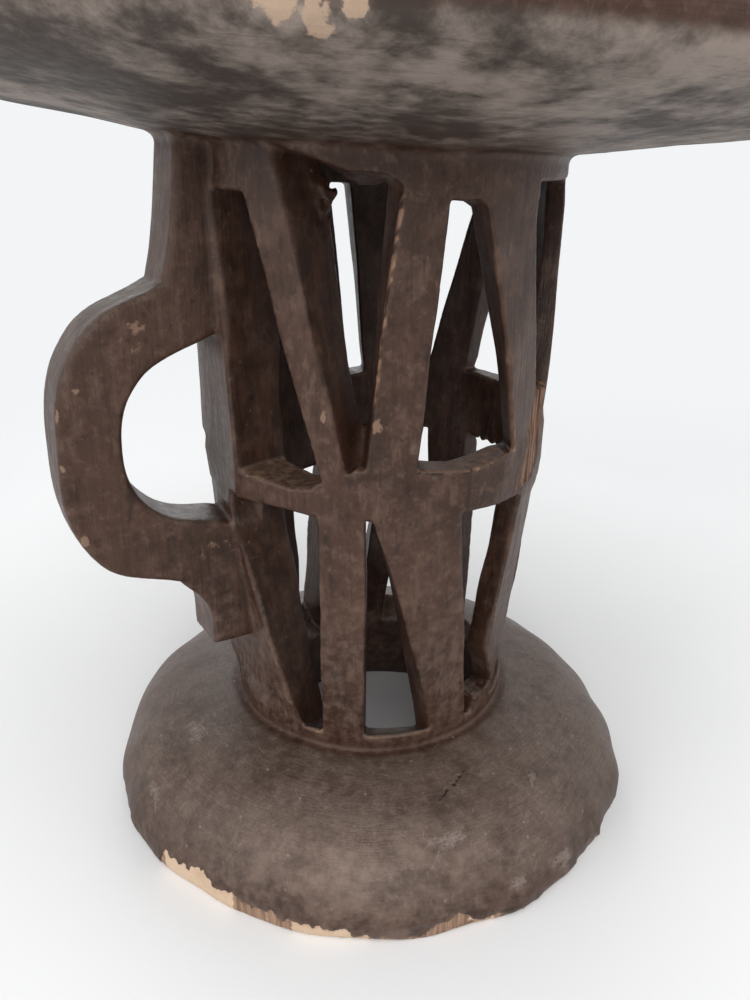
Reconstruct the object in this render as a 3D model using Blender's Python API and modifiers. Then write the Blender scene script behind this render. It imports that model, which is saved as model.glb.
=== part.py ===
"""Carved wooden stool: a dished seat on a pierced column, with a side handle and a domed base.

The real stool is cut from one log. Each object here is one carved member of it, divided from its
neighbours where the carving itself changes form, with CLEARANCE between them.
Metres, +Z up. The origin is on the floor, on the column's axis. Bearings are degrees round the
column, counted from the handle, which points to -X, anticlockwise as seen from above.
"""
import math

import bmesh
import bpy
from mathutils import Matrix, Vector

# Fit
CLEARANCE = 0.0003

# Base: a dome on a low rim, hollow underneath
BASE_RADIUS = 0.1275
BASE_RIM_HEIGHT = 0.0040
BASE_RIM_UNDERCUT = 0.0025
DOME_HEIGHT = 0.0443
DOME_SHOULDER_POWER = 1.17
BASE_HOLE_FLARE = 0.0130

# Column: a tapered tube whose bore is off centre, so its wall is thick beside the handle
COLUMN_FOOT_RADIUS = 0.0656
COLUMN_WAIST_RADIUS = 0.0754
COLUMN_TOP_RADIUS = 0.0765
WAIST_HEIGHT = 0.1680
WALL_THIN = 0.0080
WALL_THICK = 0.0260
WALL_THIN_BEARING = 150.0

# Rings that the struts run between
SILL_HEIGHT = 0.0525
SILL_SLOPE = 0.70
RING_BOTTOM = 0.1580
RING_TOP = 0.1694
RING_RISE = 0.0213
RING_RISE_POWER = 1.3
RING_RISE_BEARING = 200.0
RING_DROP = 0.0180
RING_DROP_START = (234.0, 250.0)
RING_DROP_END = (314.0, 336.0)
COLLAR_HEIGHT = 0.0088
COLLAR_DROP = 0.0090
COLLAR_DROP_BEARING = 83.5
COLLAR_DROP_SPREAD = 29.0

# Seat: a dished saucer, leaning a little towards one side
SEAT_HEIGHT = 0.2920
SEAT_RADIUS = 0.1880
SEAT_TILT = math.radians(3.4)
SEAT_LOW_BEARING = 94.0
SEAT_FLAT_MARGIN = 0.0030
SEAT_UNDER_RISE = 0.0150
SEAT_UNDER_ROUNDNESS = 4.0
SEAT_RIM_HEIGHT = 0.0280
SEAT_WIDEST_SHARE = 0.6
SEAT_CREST_WIDTH = 0.0130
SEAT_DISH_DEPTH = 0.0150
SEAT_DISH_POWER = 2.4

# Struts: edge bearings (first, second) at the foot and at the head of each
STRUT_EDGE_ROUND = 0.0012
STRUT_FLARE = 0.9
STRUT_FLARE_REACH = 0.14
UPPER_STRUTS = {
    "handle_post_upper": ((-20.0, 15.5), (-20.0, 10.5)),
    "upper_strut_1": ((45.5, 53.6), (21.0, 34.0)),
    "upper_strut_2": ((57.6, 73.0), (67.3, 79.0)),
    "upper_strut_3": ((107.0, 124.0), (88.0, 110.0)),
    "upper_strut_4": ((127.5, 142.0), (144.0, 162.0)),
    "upper_strut_5": ((157.0, 173.5), (166.0, 177.0)),
    "upper_strut_6": ((196.0, 214.0), (181.3, 192.5)),
    "upper_strut_7": ((219.5, 244.8), (230.0, 251.5)),
    "upper_strut_8": ((252.7, 272.0), (264.5, 284.0)),
    "upper_strut_9": ((280.0, 322.0), (294.0, 309.0)),
}
LOWER_STRUTS = {
    "handle_post_lower": ((-20.0, 33.0), (-22.0, 7.0)),
    "lower_strut_1": ((41.5, 58.0), (43.0, 58.0)),
    "lower_strut_2": ((84.5, 101.0), (60.3, 88.5)),
    "lower_strut_3": ((104.5, 122.0), (115.0, 133.5)),
    "lower_strut_4": ((152.0, 168.0), (137.5, 152.5)),
    "lower_strut_5": ((186.5, 206.0), (192.5, 212.0)),
    "lower_strut_6": ((233.0, 250.0), (216.5, 232.0)),
    "lower_strut_7": ((260.0, 277.0), (251.0, 267.0)),
    "lower_strut_8": ((302.0, 318.0), (296.0, 311.0)),
}
STRUTS = {**UPPER_STRUTS, **LOWER_STRUTS}

# Degrees by which a strut's edges stand further apart at the bore than outside, at the foot and at the head
STRUT_SPLAY = {
    "upper_strut_2": ((0.0, 0.0), (3.3, 0.0)),
    "upper_strut_3": ((-8.0, 0.0), (-1.0, 0.0)),
}
WEB_HEAD = 0.34
WEB_RECESS = 0.0095
WEB_SIDE_GAP = 0.0007

# Handle: a flat outline in the plane through the column's axis; lengths out from its wall, heights
HANDLE_THICKNESS = 0.0266
HANDLE_EDGE_ROUND = 0.0020
HANDLE_ROOT = 0.0120
STEM_HEAD_DEPTH = 0.0107
STEM_FOOT_DEPTH = 0.0194
STEM_BEND_RISE = 0.3
STEM_BEND_DEPTH = 0.55
BRACKET_BEND_RISE = 0.55
HANDLE_REACH = 0.0632
GRIP_WIDTH = 0.0238
SHOULDER_SETBACK = 0.0132
HEEL_SETBACK = 0.0085
HOLE_UPPER_SETBACK = 0.0080
HOLE_LOWER_SETBACK = 0.0085
BRACKET_HEAD_DEPTH = 0.0256
BRACKET_FOOT_DEPTH = 0.0160

# Heights on the handle: the grip hangs from the seat, and the rest of its outline is set from the grip
GRIP_DROP = 0.1070
STEM_FOOT_RISE = 0.0580
SHOULDER_RISE = 0.0412
HOLE_TOP_RISE = 0.0380
HOLE_UPPER_RISE = 0.0232
HOLE_LOWER_DROP = 0.0280
HOLE_BOTTOM_DROP = 0.0395
HEEL_DROP = 0.0475
BRACKET_HEAD_DROP = 0.0614
BRACKET_FOOT_DROP = 0.0954
GRIP_HEIGHT = SEAT_HEIGHT - GRIP_DROP
STEM_FOOT_HEIGHT = GRIP_HEIGHT + STEM_FOOT_RISE
SHOULDER_HEIGHT = GRIP_HEIGHT + SHOULDER_RISE
HOLE_TOP = GRIP_HEIGHT + HOLE_TOP_RISE
HOLE_UPPER_CORNER = GRIP_HEIGHT + HOLE_UPPER_RISE
HOLE_LOWER_CORNER = GRIP_HEIGHT - HOLE_LOWER_DROP
HOLE_BOTTOM = GRIP_HEIGHT - HOLE_BOTTOM_DROP
HEEL_HEIGHT = GRIP_HEIGHT - HEEL_DROP
BRACKET_HEAD_HEIGHT = GRIP_HEIGHT - BRACKET_HEAD_DROP
BRACKET_FOOT_HEIGHT = GRIP_HEIGHT - BRACKET_FOOT_DROP

# Facets
TURNED_STEPS = 64
DOME_STEPS = 10
DISH_STEPS = 5
CREST_STEPS = 4
UNDERSIDE_STEPS = 7
OUTLINE_STEPS = 5
SHARP_ANGLE = math.radians(35.0)
RING_STEPS = 108
LEVEL_PASSES = 6
STRUT_COLUMN_WIDTH = 5.0
STRUT_ROWS = (0.0, 0.05, 0.12, 0.2, 0.27, 0.42, 0.58, 0.77, 0.87, 0.95, 1.0)


def clear_scene():
    for item in list(bpy.data.objects):
        bpy.data.objects.remove(item, do_unlink=True)


def new_collection(name):
    group = bpy.data.collections.new(name)
    bpy.context.scene.collection.children.link(group)
    return group


def wood(name, colour, roughness):
    material = bpy.data.materials.new(name)
    material.use_nodes = True
    shader = material.node_tree.nodes["Principled BSDF"]
    shader.inputs["Base Color"].default_value = (*colour, 1.0)
    shader.inputs["Roughness"].default_value = roughness
    shader.inputs["Metallic"].default_value = 0.0
    return material


def add_object(name, mesh, group, material=None):
    item = bpy.data.objects.new(name, mesh)
    group.objects.link(item)
    if material:
        mesh.materials.append(material)
    return item


def make_cutter(item):
    item.hide_render = True
    item.display_type = "WIRE"
    return item


def cut(item, cutter):
    modifier = item.modifiers.new("cut_" + cutter.name, "BOOLEAN")
    modifier.operation = "DIFFERENCE"
    modifier.solver = "EXACT"
    modifier.object = cutter


# Geometry that the members share

def direction(bearing):
    angle = math.radians(bearing + 180.0)
    return Vector((math.cos(angle), math.sin(angle), 0.0))


def mix(first, second, share):
    return first + (second - first) * share


def column_radius(height):
    """Outer radius of the column: two straight tapers that meet at the waist."""
    if height < WAIST_HEIGHT:
        share = (height - DOME_HEIGHT) / (WAIST_HEIGHT - DOME_HEIGHT)
        return mix(COLUMN_FOOT_RADIUS, COLUMN_WAIST_RADIUS, share)
    share = (height - WAIST_HEIGHT) / (SEAT_HEIGHT - WAIST_HEIGHT)
    return mix(COLUMN_WAIST_RADIUS, COLUMN_TOP_RADIUS, share)


def outer_radius(bearing, height):
    return column_radius(height)


def bore_offset():
    return (WALL_THICK - WALL_THIN) / 2


def bore_radius(height):
    """Radius of the bore about its own centre, which lies bore_offset off the axis."""
    return column_radius(height) - (WALL_THIN + WALL_THICK) / 2


def inner_radius(bearing, height):
    """Distance from the column's axis to the wall of the bore."""
    turn = math.radians(bearing - WALL_THIN_BEARING)
    across = bore_offset() * math.sin(turn)
    return bore_offset() * math.cos(turn) + math.sqrt(bore_radius(height) ** 2 - across ** 2)


def seat_level(bearing, radius):
    """Height of the seat's flat underside, which leans down towards SEAT_LOW_BEARING."""
    lean = math.cos(math.radians(bearing - SEAT_LOW_BEARING))
    return SEAT_HEIGHT - math.tan(SEAT_TILT) * radius * lean


def dome_level(bearing, radius):
    """Top of the base inside the column's foot, which falls away towards the bore."""
    return DOME_HEIGHT - SILL_SLOPE * (COLUMN_FOOT_RADIUS - radius)


def sill_level(bearing, radius):
    return dome_level(bearing, radius) + SILL_HEIGHT - DOME_HEIGHT


def lobe(bearing, centre, spread):
    """A smooth bump of 1 at a bearing that fades to 0 at spread degrees to each side."""
    turn = abs((bearing - centre + 180.0) % 360.0 - 180.0)
    return math.cos(math.pi / 2 * min(1.0, turn / spread)) ** 2


def smooth_step(value, first, last):
    share = min(1.0, max(0.0, (value - first) / (last - first)))
    return share * share * (3.0 - 2.0 * share)


def ring_bottom_level(bearing, radius):
    """Underside of the middle ring, which hangs lower over a stretch of the back."""
    turn = bearing % 360.0
    share = smooth_step(turn, *RING_DROP_START) - smooth_step(turn, *RING_DROP_END)
    return RING_BOTTOM - RING_DROP * share


def ring_top_level(bearing, radius):
    lift = (1 + math.cos(math.radians(bearing - RING_RISE_BEARING))) / 2
    return RING_TOP + RING_RISE * lift ** RING_RISE_POWER


def collar_bottom_level(bearing, radius):
    drop = COLLAR_DROP * lobe(bearing, COLLAR_DROP_BEARING, COLLAR_DROP_SPREAD)
    return seat_level(bearing, COLUMN_TOP_RADIUS) - COLLAR_HEIGHT - drop


def collar_top_level(bearing, radius):
    return seat_level(bearing, radius) - CLEARANCE


def above(level):
    return lambda bearing, radius: level(bearing, radius) + CLEARANCE


def below(level):
    return lambda bearing, radius: level(bearing, radius) - CLEARANCE


# Members of the column wall, lofted between their two edges and two levels

def height_on(surface, level, bearing):
    """Height at which a level meets a surface, given as its radius at a bearing and a height."""
    height = level(bearing, COLUMN_FOOT_RADIUS)
    for _ in range(LEVEL_PASSES):
        height = level(bearing, surface(bearing, height))
    return height


def wall_point(surface, bearing, share, low, high, depth):
    """A point of the wall at a depth under one of its surfaces, a share of the way from low to high."""
    height = mix(height_on(surface, low, bearing), height_on(surface, high, bearing), share)
    point = direction(bearing) * (surface(bearing, height) - depth)
    point.z = height
    return point


def loft(name, sections, closed):
    """Skin a list of sections, each a loop of points, into one closed mesh."""
    mesh = bpy.data.meshes.new(name)
    bm = bmesh.new()
    loops = [[bm.verts.new(point) for point in section] for section in sections]
    size = len(loops[0])
    pairs = list(zip(loops, loops[1:]))
    if closed:
        pairs.append((loops[-1], loops[0]))
    for first, second in pairs:
        for index in range(size):
            after = (index + 1) % size
            bm.faces.new((first[index], first[after], second[after], second[index]))
    if not closed:
        for end in (loops[0], loops[-1]):
            for index in range(size // 2 - 1):
                bm.faces.new((end[index], end[index + 1], end[-index - 2], end[-index - 1]))
    bmesh.ops.recalc_face_normals(bm, faces=bm.faces)
    bm.to_mesh(mesh)
    bm.free()
    return mesh


def ring(name, low, high, group, material):
    """A whole turn of the column's wall between two levels."""
    sections = []
    for step in range(RING_STEPS):
        bearing = 360.0 * step / RING_STEPS
        corners = ((outer_radius, 0.0), (outer_radius, 1.0), (inner_radius, 1.0), (inner_radius, 0.0))
        sections.append([wall_point(surface, bearing, share, low, high, 0.0) for surface, share in corners])
    return add_object(name, loft(name, sections, True), group, material)


def strut_edge(name, side, share, inner):
    """Bearing of one edge of a strut, which flares where it runs into a ring."""
    foot, head = STRUTS[name]
    nearness = max(0.0, 1.0 - min(share, 1.0 - share) / STRUT_FLARE_REACH)
    spread = STRUT_FLARE * nearness ** 2
    if inner and name in STRUT_SPLAY:
        splay_foot, splay_head = STRUT_SPLAY[name]
        spread += mix(splay_foot[side], splay_head[side], share)
    outward = 1.0 if side else -1.0
    return mix(foot[side], head[side], share) + outward * spread


def mark_long_edges(mesh, columns):
    """Give a bevel weight to the long edges at the four corners of a strut's sections."""
    size = 2 * (columns + 1)
    corners = {0, columns, columns + 1, size - 1}
    weights = mesh.attributes.new("bevel_weight_edge", "FLOAT", "EDGE")
    for edge in mesh.edges:
        first, second = edge.vertices
        along = first % size == second % size and first // size != second // size
        weights.data[edge.index].value = 1.0 if along and first % size in corners else 0.0


def wall_piece(name, left, right, low, high, rows, recess, group, material):
    """A part of the column's wall between two edges: bearings by share of height, outside and at the bore."""
    widest = max(right(share, False) - left(share, False) for share in rows)
    columns = max(3, round(widest / STRUT_COLUMN_WIDTH))
    sections = []
    for share in rows:
        outer_points = []
        inner_points = []
        for column in range(columns + 1):
            bearing = mix(left(share, False), right(share, False), column / columns)
            outer_points.append(wall_point(outer_radius, bearing, share, low, high, recess))
            bearing = mix(left(share, True), right(share, True), column / columns)
            inner_points.append(wall_point(inner_radius, bearing, share, low, high, 0.0))
        sections.append(outer_points + inner_points[::-1])
    mesh = loft(name, sections, False)
    mark_long_edges(mesh, columns)
    item = add_object(name, mesh, group, material)
    rounding = item.modifiers.new("worn_edges", "BEVEL")
    rounding.limit_method = "WEIGHT"
    rounding.width = STRUT_EDGE_ROUND
    rounding.segments = 1
    return item


def strut_rows():
    """Shares of a strut's height that have a section, the web's head among them."""
    return sorted({*STRUT_ROWS, WEB_HEAD})


def strut(name, low, high, group, material):
    return wall_piece(name, lambda share, inner: strut_edge(name, 0, share, inner),
                      lambda share, inner: strut_edge(name, 1, share, inner),
                      above(low), below(high), strut_rows(), 0.0, group, material)


def crotch_web(name, first, second, low, high, group, material):
    """The sunk web that fills the foot of the V between two struts."""
    gap = math.degrees(WEB_SIDE_GAP / COLUMN_WAIST_RADIUS)
    rows = [share for share in strut_rows() if share <= WEB_HEAD]
    return wall_piece(name, lambda share, inner: strut_edge(first, 1, share, inner) + gap,
                      lambda share, inner: strut_edge(second, 0, share, inner) - gap,
                      above(low), below(high), rows, WEB_RECESS, group, material)


# Turned members

def turned(name, profile, group, material=None):
    """Revolve a profile, given as (radius, height) from the top down its outer side."""
    mesh = bpy.data.meshes.new(name)
    points = [(radius, 0.0, height) for radius, height in profile]
    mesh.from_pydata(points, [(i, i + 1) for i in range(len(points) - 1)], [])
    item = add_object(name, mesh, group, material)
    screw = item.modifiers.new("turn", "SCREW")
    screw.axis = "Z"
    screw.angle = math.tau
    screw.steps = TURNED_STEPS
    screw.render_steps = TURNED_STEPS
    screw.use_merge_vertices = True
    screw.merge_threshold = 0.00005
    return item


def quarter(count):
    """Angles of a quarter turn, without its first point."""
    return [math.pi / 2 * (step + 1) / count for step in range(count)]


def base_profile():
    profile = [(0.0, dome_level(0.0, 0.0)), (COLUMN_FOOT_RADIUS, DOME_HEIGHT)]
    for angle in quarter(DOME_STEPS):
        spread = math.sin(angle) ** (1.0 / DOME_SHOULDER_POWER)
        fall = 1.0 - math.cos(angle)
        profile.append((mix(COLUMN_FOOT_RADIUS, BASE_RADIUS, spread),
                        mix(DOME_HEIGHT, BASE_RIM_HEIGHT, fall)))
    profile.append((BASE_RADIUS - BASE_RIM_UNDERCUT, 0.0))
    profile.append((0.0, 0.0))
    return profile


def seat_widest_height():
    """Height of the rim's widest circle above the seat's flat underside."""
    return SEAT_UNDER_RISE + SEAT_RIM_HEIGHT * SEAT_WIDEST_SHARE


def seat_profile():
    """Seat section about its own axis; height 0 is the flat that sits on the collar."""
    flat = COLUMN_TOP_RADIUS + SEAT_FLAT_MARGIN
    crest = SEAT_UNDER_RISE + SEAT_RIM_HEIGHT
    widest = seat_widest_height()
    crest_radius = SEAT_RADIUS - SEAT_CREST_WIDTH
    profile = []
    for step in range(DISH_STEPS + 1):
        share = step / DISH_STEPS
        drop = SEAT_DISH_DEPTH * (1.0 - share ** SEAT_DISH_POWER)
        profile.append((crest_radius * share, crest - drop))
    for angle in quarter(CREST_STEPS):
        profile.append((crest_radius + SEAT_CREST_WIDTH * math.sin(angle),
                        mix(widest, crest, math.cos(angle))))
    for angle in quarter(UNDERSIDE_STEPS):
        share = math.cos(angle)
        round_up = 1.0 - (1.0 - share ** SEAT_UNDER_ROUNDNESS) ** (1.0 / SEAT_UNDER_ROUNDNESS)
        height = SEAT_UNDER_RISE * share + (widest - SEAT_UNDER_RISE) * round_up
        profile.append((mix(flat, SEAT_RADIUS, share), height))
    profile.append((0.0, 0.0))
    return profile


def place_seat(item, drop):
    """Lean a seat-shaped object on its flat, with its rim's centre kept on the column's axis."""
    lean = direction(SEAT_LOW_BEARING) * math.tan(SEAT_TILT)
    normal = Vector((lean.x, lean.y, 1.0)).normalized()
    turn = Vector((0.0, 0.0, 1.0)).rotation_difference(normal).to_matrix().to_4x4()
    flat_centre = -normal * seat_widest_height()
    flat_centre.z = SEAT_HEIGHT - lean.dot(flat_centre)
    item.matrix_world = Matrix.Translation(flat_centre - normal * drop) @ turn


def column_envelope(group):
    """The column's outer form and its clearance, to fit the handle to the wall."""
    foot = BASE_RIM_HEIGHT
    head = SEAT_HEIGHT + SEAT_RIM_HEIGHT
    heights = (head, WAIST_HEIGHT, foot)
    profile = [(0.0, head)]
    profile += [(column_radius(height) + CLEARANCE, height) for height in heights]
    profile.append((0.0, foot))
    return make_cutter(turned("column_envelope", profile, group))


def base_bore(group):
    """The hollow under the base: a cone that opens from the column's bore down to the floor."""
    mesh = bpy.data.meshes.new("base_bore")
    depth = 2 * DOME_HEIGHT
    top = bore_radius(DOME_HEIGHT)
    bm = bmesh.new()
    bmesh.ops.create_cone(bm, cap_ends=True, segments=TURNED_STEPS, depth=depth,
                          radius1=top + 1.5 * BASE_HOLE_FLARE, radius2=top - 0.5 * BASE_HOLE_FLARE)
    bm.to_mesh(mesh)
    bm.free()
    item = make_cutter(add_object("base_bore", mesh, group))
    item.location = direction(WALL_THIN_BEARING) * bore_offset()
    item.location.z = DOME_HEIGHT / 2
    return item


# Handle

def flat_outline(name, corners, group, material, cutters):
    """Extrude an outline of (length out from the wall, height, smooth) and fit it to the column."""
    curve = bpy.data.curves.new(name + "_outline", "CURVE")
    curve.dimensions = "2D"
    curve.fill_mode = "BOTH"
    curve.extrude = HANDLE_THICKNESS / 2 - HANDLE_EDGE_ROUND
    curve.bevel_depth = HANDLE_EDGE_ROUND
    curve.bevel_resolution = 1
    curve.offset = -HANDLE_EDGE_ROUND
    curve.resolution_u = OUTLINE_STEPS
    spline = curve.splines.new("BEZIER")
    spline.bezier_points.add(len(corners) - 1)
    spline.use_cyclic_u = True
    for point, (out, height, smooth) in zip(spline.bezier_points, corners):
        point.co = (column_radius(height) + out, height, 0.0)
        kind = "AUTO" if smooth else "VECTOR"
        point.handle_left_type = kind
        point.handle_right_type = kind
    outline = bpy.data.objects.new(name + "_outline", curve)
    group.objects.link(outline)
    graph = bpy.context.evaluated_depsgraph_get()
    mesh = bpy.data.meshes.new_from_object(outline.evaluated_get(graph))
    mesh.name = name
    bpy.data.objects.remove(outline, do_unlink=True)
    bm = bmesh.new()
    bm.from_mesh(mesh)
    bmesh.ops.remove_doubles(bm, verts=bm.verts, dist=0.00002)
    bmesh.ops.recalc_face_normals(bm, faces=bm.faces)
    bm.to_mesh(mesh)
    bm.free()
    item = add_object(name, mesh, group)
    mesh.materials.clear()
    mesh.materials.append(material)
    out = direction(0.0)
    up = Vector((0.0, 0.0, 1.0))
    item.matrix_world = Matrix((out, up, out.cross(up))).transposed().to_4x4()
    for cutter in cutters:
        cut(item, cutter)
    return item


def stem_outline():
    head = SEAT_HEIGHT + SEAT_RIM_HEIGHT
    foot = STEM_FOOT_HEIGHT + CLEARANCE
    bend = mix(STEM_FOOT_HEIGHT, SEAT_HEIGHT, STEM_BEND_RISE)
    bend_depth = mix(STEM_HEAD_DEPTH, STEM_FOOT_DEPTH, STEM_BEND_DEPTH)
    return [(-HANDLE_ROOT, head, False), (STEM_HEAD_DEPTH, head, False),
            (STEM_HEAD_DEPTH, SEAT_HEIGHT, False), (bend_depth, bend, True),
            (STEM_FOOT_DEPTH, foot, False), (-HANDLE_ROOT, foot, False)]


def loop_outline():
    hole_reach = HANDLE_REACH - GRIP_WIDTH
    return [(-HANDLE_ROOT, STEM_FOOT_HEIGHT, False), (STEM_FOOT_DEPTH, STEM_FOOT_HEIGHT, False),
            (HANDLE_REACH - SHOULDER_SETBACK, SHOULDER_HEIGHT, True),
            (HANDLE_REACH, GRIP_HEIGHT, True),
            (HANDLE_REACH - HEEL_SETBACK, HEEL_HEIGHT, True),
            (BRACKET_HEAD_DEPTH, BRACKET_HEAD_HEIGHT, False),
            (-HANDLE_ROOT, BRACKET_HEAD_HEIGHT, False), (-HANDLE_ROOT, HOLE_BOTTOM, False),
            (0.0, HOLE_BOTTOM, False),
            (hole_reach - HOLE_LOWER_SETBACK, HOLE_LOWER_CORNER, True),
            (hole_reach, GRIP_HEIGHT, True),
            (hole_reach - HOLE_UPPER_SETBACK, HOLE_UPPER_CORNER, True),
            (0.0, HOLE_TOP, False), (-HANDLE_ROOT, HOLE_TOP, False)]


def bracket_outline():
    head = BRACKET_HEAD_HEIGHT - CLEARANCE
    bend = mix(BRACKET_FOOT_HEIGHT, BRACKET_HEAD_HEIGHT, BRACKET_BEND_RISE)
    return [(-HANDLE_ROOT, head, False), (BRACKET_HEAD_DEPTH, head, False),
            (BRACKET_FOOT_DEPTH, bend, True), (BRACKET_FOOT_DEPTH, BRACKET_FOOT_HEIGHT, False),
            (-HANDLE_ROOT, BRACKET_FOOT_HEIGHT, False)]


def smooth_shading(items):
    for item in items:
        item.data.shade_smooth()
        item.data.set_sharp_from_angle(angle=SHARP_ANGLE)


def build():
    clear_scene()
    stool = new_collection("carved_stool")
    cutters = new_collection("cutters")
    patina = wood("patinated_wood", (0.050, 0.030, 0.021), 0.42)
    handled = wood("handled_wood", (0.062, 0.034, 0.022), 0.36)
    dark = wood("smoked_wood", (0.038, 0.025, 0.020), 0.45)

    envelope = column_envelope(cutters)
    seat_clearance = make_cutter(turned("seat_clearance", seat_profile(), cutters))
    place_seat(seat_clearance, CLEARANCE)

    seat = turned("seat", seat_profile(), stool, patina)
    place_seat(seat, 0.0)
    base = turned("base_dome", base_profile(), stool, dark)
    cut(base, base_bore(cutters))

    ring("foot_ring", above(dome_level), sill_level, stool, dark)
    ring("middle_ring", ring_bottom_level, ring_top_level, stool, patina)
    ring("seat_collar", collar_bottom_level, collar_top_level, stool, patina)

    for name in UPPER_STRUTS:
        strut(name, ring_top_level, collar_bottom_level, stool, patina)
    for name in LOWER_STRUTS:
        strut(name, sill_level, ring_bottom_level, stool, dark)
    crotch_web("front_web", "upper_strut_1", "upper_strut_2", ring_top_level, collar_bottom_level,
               stool, dark)

    flat_outline("handle_stem", stem_outline(), stool, handled, (envelope, seat_clearance))
    flat_outline("handle_loop", loop_outline(), stool, handled, (envelope,))
    flat_outline("handle_bracket", bracket_outline(), stool, handled, (envelope,))

    smooth_shading(stool.objects)


build()
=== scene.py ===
"""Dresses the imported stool: one continuous carved surface, divided into a piece for each CAD node.

The stool's form is written as a distance field from the same sizes as the CAD model, with the fillets,
worn edges, tool marks and chips that carving and use leave. Its surface is meshed once and shared out
among the nodes, so that no joint shows between pieces that are one wood.
"""
import math

import bpy
import numpy as np
from mathutils import Matrix, Vector


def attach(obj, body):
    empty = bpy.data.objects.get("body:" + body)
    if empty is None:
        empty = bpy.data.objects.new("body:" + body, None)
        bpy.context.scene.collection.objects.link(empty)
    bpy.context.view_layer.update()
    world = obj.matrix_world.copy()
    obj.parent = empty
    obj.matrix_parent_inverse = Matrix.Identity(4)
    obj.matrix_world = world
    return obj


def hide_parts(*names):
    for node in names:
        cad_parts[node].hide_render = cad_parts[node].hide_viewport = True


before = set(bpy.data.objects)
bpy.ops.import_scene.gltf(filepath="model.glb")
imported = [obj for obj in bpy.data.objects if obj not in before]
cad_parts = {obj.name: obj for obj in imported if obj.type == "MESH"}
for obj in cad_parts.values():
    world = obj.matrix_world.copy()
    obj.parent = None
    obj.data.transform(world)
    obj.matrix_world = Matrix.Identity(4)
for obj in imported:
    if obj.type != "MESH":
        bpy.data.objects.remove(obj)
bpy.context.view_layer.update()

# Sizes of the CAD model, in metres and degrees
BASE_RADIUS, BASE_RIM_HEIGHT, BASE_RIM_UNDERCUT = 0.1275, 0.0040, 0.0025
DOME_HEIGHT, DOME_SHOULDER_POWER, BASE_HOLE_FLARE = 0.0443, 1.17, 0.0130
COLUMN_FOOT_RADIUS, COLUMN_WAIST_RADIUS, COLUMN_TOP_RADIUS = 0.0656, 0.0754, 0.0765
WAIST_HEIGHT, WALL_THIN, WALL_THICK, WALL_THIN_BEARING = 0.1680, 0.0080, 0.0260, 150.0
SILL_HEIGHT, SILL_SLOPE = 0.0525, 0.70
RING_BOTTOM, RING_TOP, RING_RISE, RING_RISE_BEARING, RING_RISE_POWER = 0.1580, 0.1694, 0.0213, 200.0, 1.3
RING_DROP, RING_DROP_START, RING_DROP_END = 0.0180, (234.0, 250.0), (314.0, 336.0)
COLLAR_HEIGHT, COLLAR_DROP, COLLAR_DROP_BEARING, COLLAR_DROP_SPREAD = 0.0088, 0.0090, 83.5, 29.0
SEAT_HEIGHT, SEAT_RADIUS = 0.2920, 0.1880
SEAT_TILT, SEAT_LOW_BEARING = math.radians(3.4), 94.0
SEAT_FLAT_MARGIN, SEAT_UNDER_RISE, SEAT_UNDER_ROUNDNESS = 0.0030, 0.0150, 4.0
SEAT_RIM_HEIGHT, SEAT_WIDEST_SHARE, SEAT_CREST_WIDTH = 0.0280, 0.6, 0.0130
SEAT_DISH_DEPTH, SEAT_DISH_POWER = 0.0150, 2.4
UPPER_STRUTS = {
    "handle_post_upper": ((-20.0, 15.5), (-20.0, 10.5)),
    "upper_strut_1": ((45.5, 53.6), (21.0, 34.0)),
    "upper_strut_2": ((57.6, 73.0), (66.7, 79.0)),
    "upper_strut_3": ((107.0, 124.0), (89.8, 110.0)),
    "upper_strut_4": ((127.5, 142.0), (144.0, 162.0)),
    "upper_strut_5": ((157.0, 173.5), (166.0, 177.0)),
    "upper_strut_6": ((196.0, 214.0), (181.3, 192.5)),
    "upper_strut_7": ((219.5, 244.8), (230.0, 253.5)),
    "upper_strut_8": ((252.7, 272.0), (264.5, 284.0)),
    "upper_strut_9": ((280.0, 322.0), (294.0, 309.0)),
}
LOWER_STRUTS = {
    "handle_post_lower": ((-20.0, 33.0), (-22.0, 7.0)),
    "lower_strut_1": ((41.5, 58.0), (43.0, 58.0)),
    "lower_strut_2": ((84.5, 101.0), (60.3, 88.5)),
    "lower_strut_3": ((104.5, 122.0), (115.0, 133.5)),
    "lower_strut_4": ((152.0, 168.0), (137.5, 152.5)),
    "lower_strut_5": ((186.5, 206.0), (192.5, 212.0)),
    "lower_strut_6": ((233.0, 250.0), (216.5, 232.0)),
    "lower_strut_7": ((260.0, 277.0), (251.0, 267.0)),
    "lower_strut_8": ((302.0, 318.0), (296.0, 311.0)),
}
STRUT_SPLAY = {"upper_strut_1": ((0.0, 5.0), (0.0, 6.0)), "upper_strut_2": ((0.0, 0.0), (3.3, 0.0)),
               "upper_strut_3": ((-8.0, 0.0), (-1.0, 0.0))}
WEB_HEAD = 0.34
HANDLE_THICKNESS, HANDLE_ROOT = 0.0266, 0.0120
STEM_HEAD_DEPTH, STEM_FOOT_DEPTH, STEM_BEND_RISE, STEM_BEND_DEPTH = 0.0107, 0.0194, 0.3, 0.55
HANDLE_REACH, GRIP_WIDTH, GRIP_HEIGHT = 0.0632, 0.0238, SEAT_HEIGHT - 0.1070
STEM_FOOT_HEIGHT, SHOULDER_HEIGHT, HEEL_HEIGHT = GRIP_HEIGHT + 0.0580, GRIP_HEIGHT + 0.0412, GRIP_HEIGHT - 0.0475
SHOULDER_SETBACK, HEEL_SETBACK = 0.0132, 0.0085
HOLE_TOP, HOLE_UPPER_CORNER, HOLE_UPPER_SETBACK = GRIP_HEIGHT + 0.0380, GRIP_HEIGHT + 0.0232, 0.0080
HOLE_BOTTOM, HOLE_LOWER_CORNER, HOLE_LOWER_SETBACK = GRIP_HEIGHT - 0.0395, GRIP_HEIGHT - 0.0280, 0.0085
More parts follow.
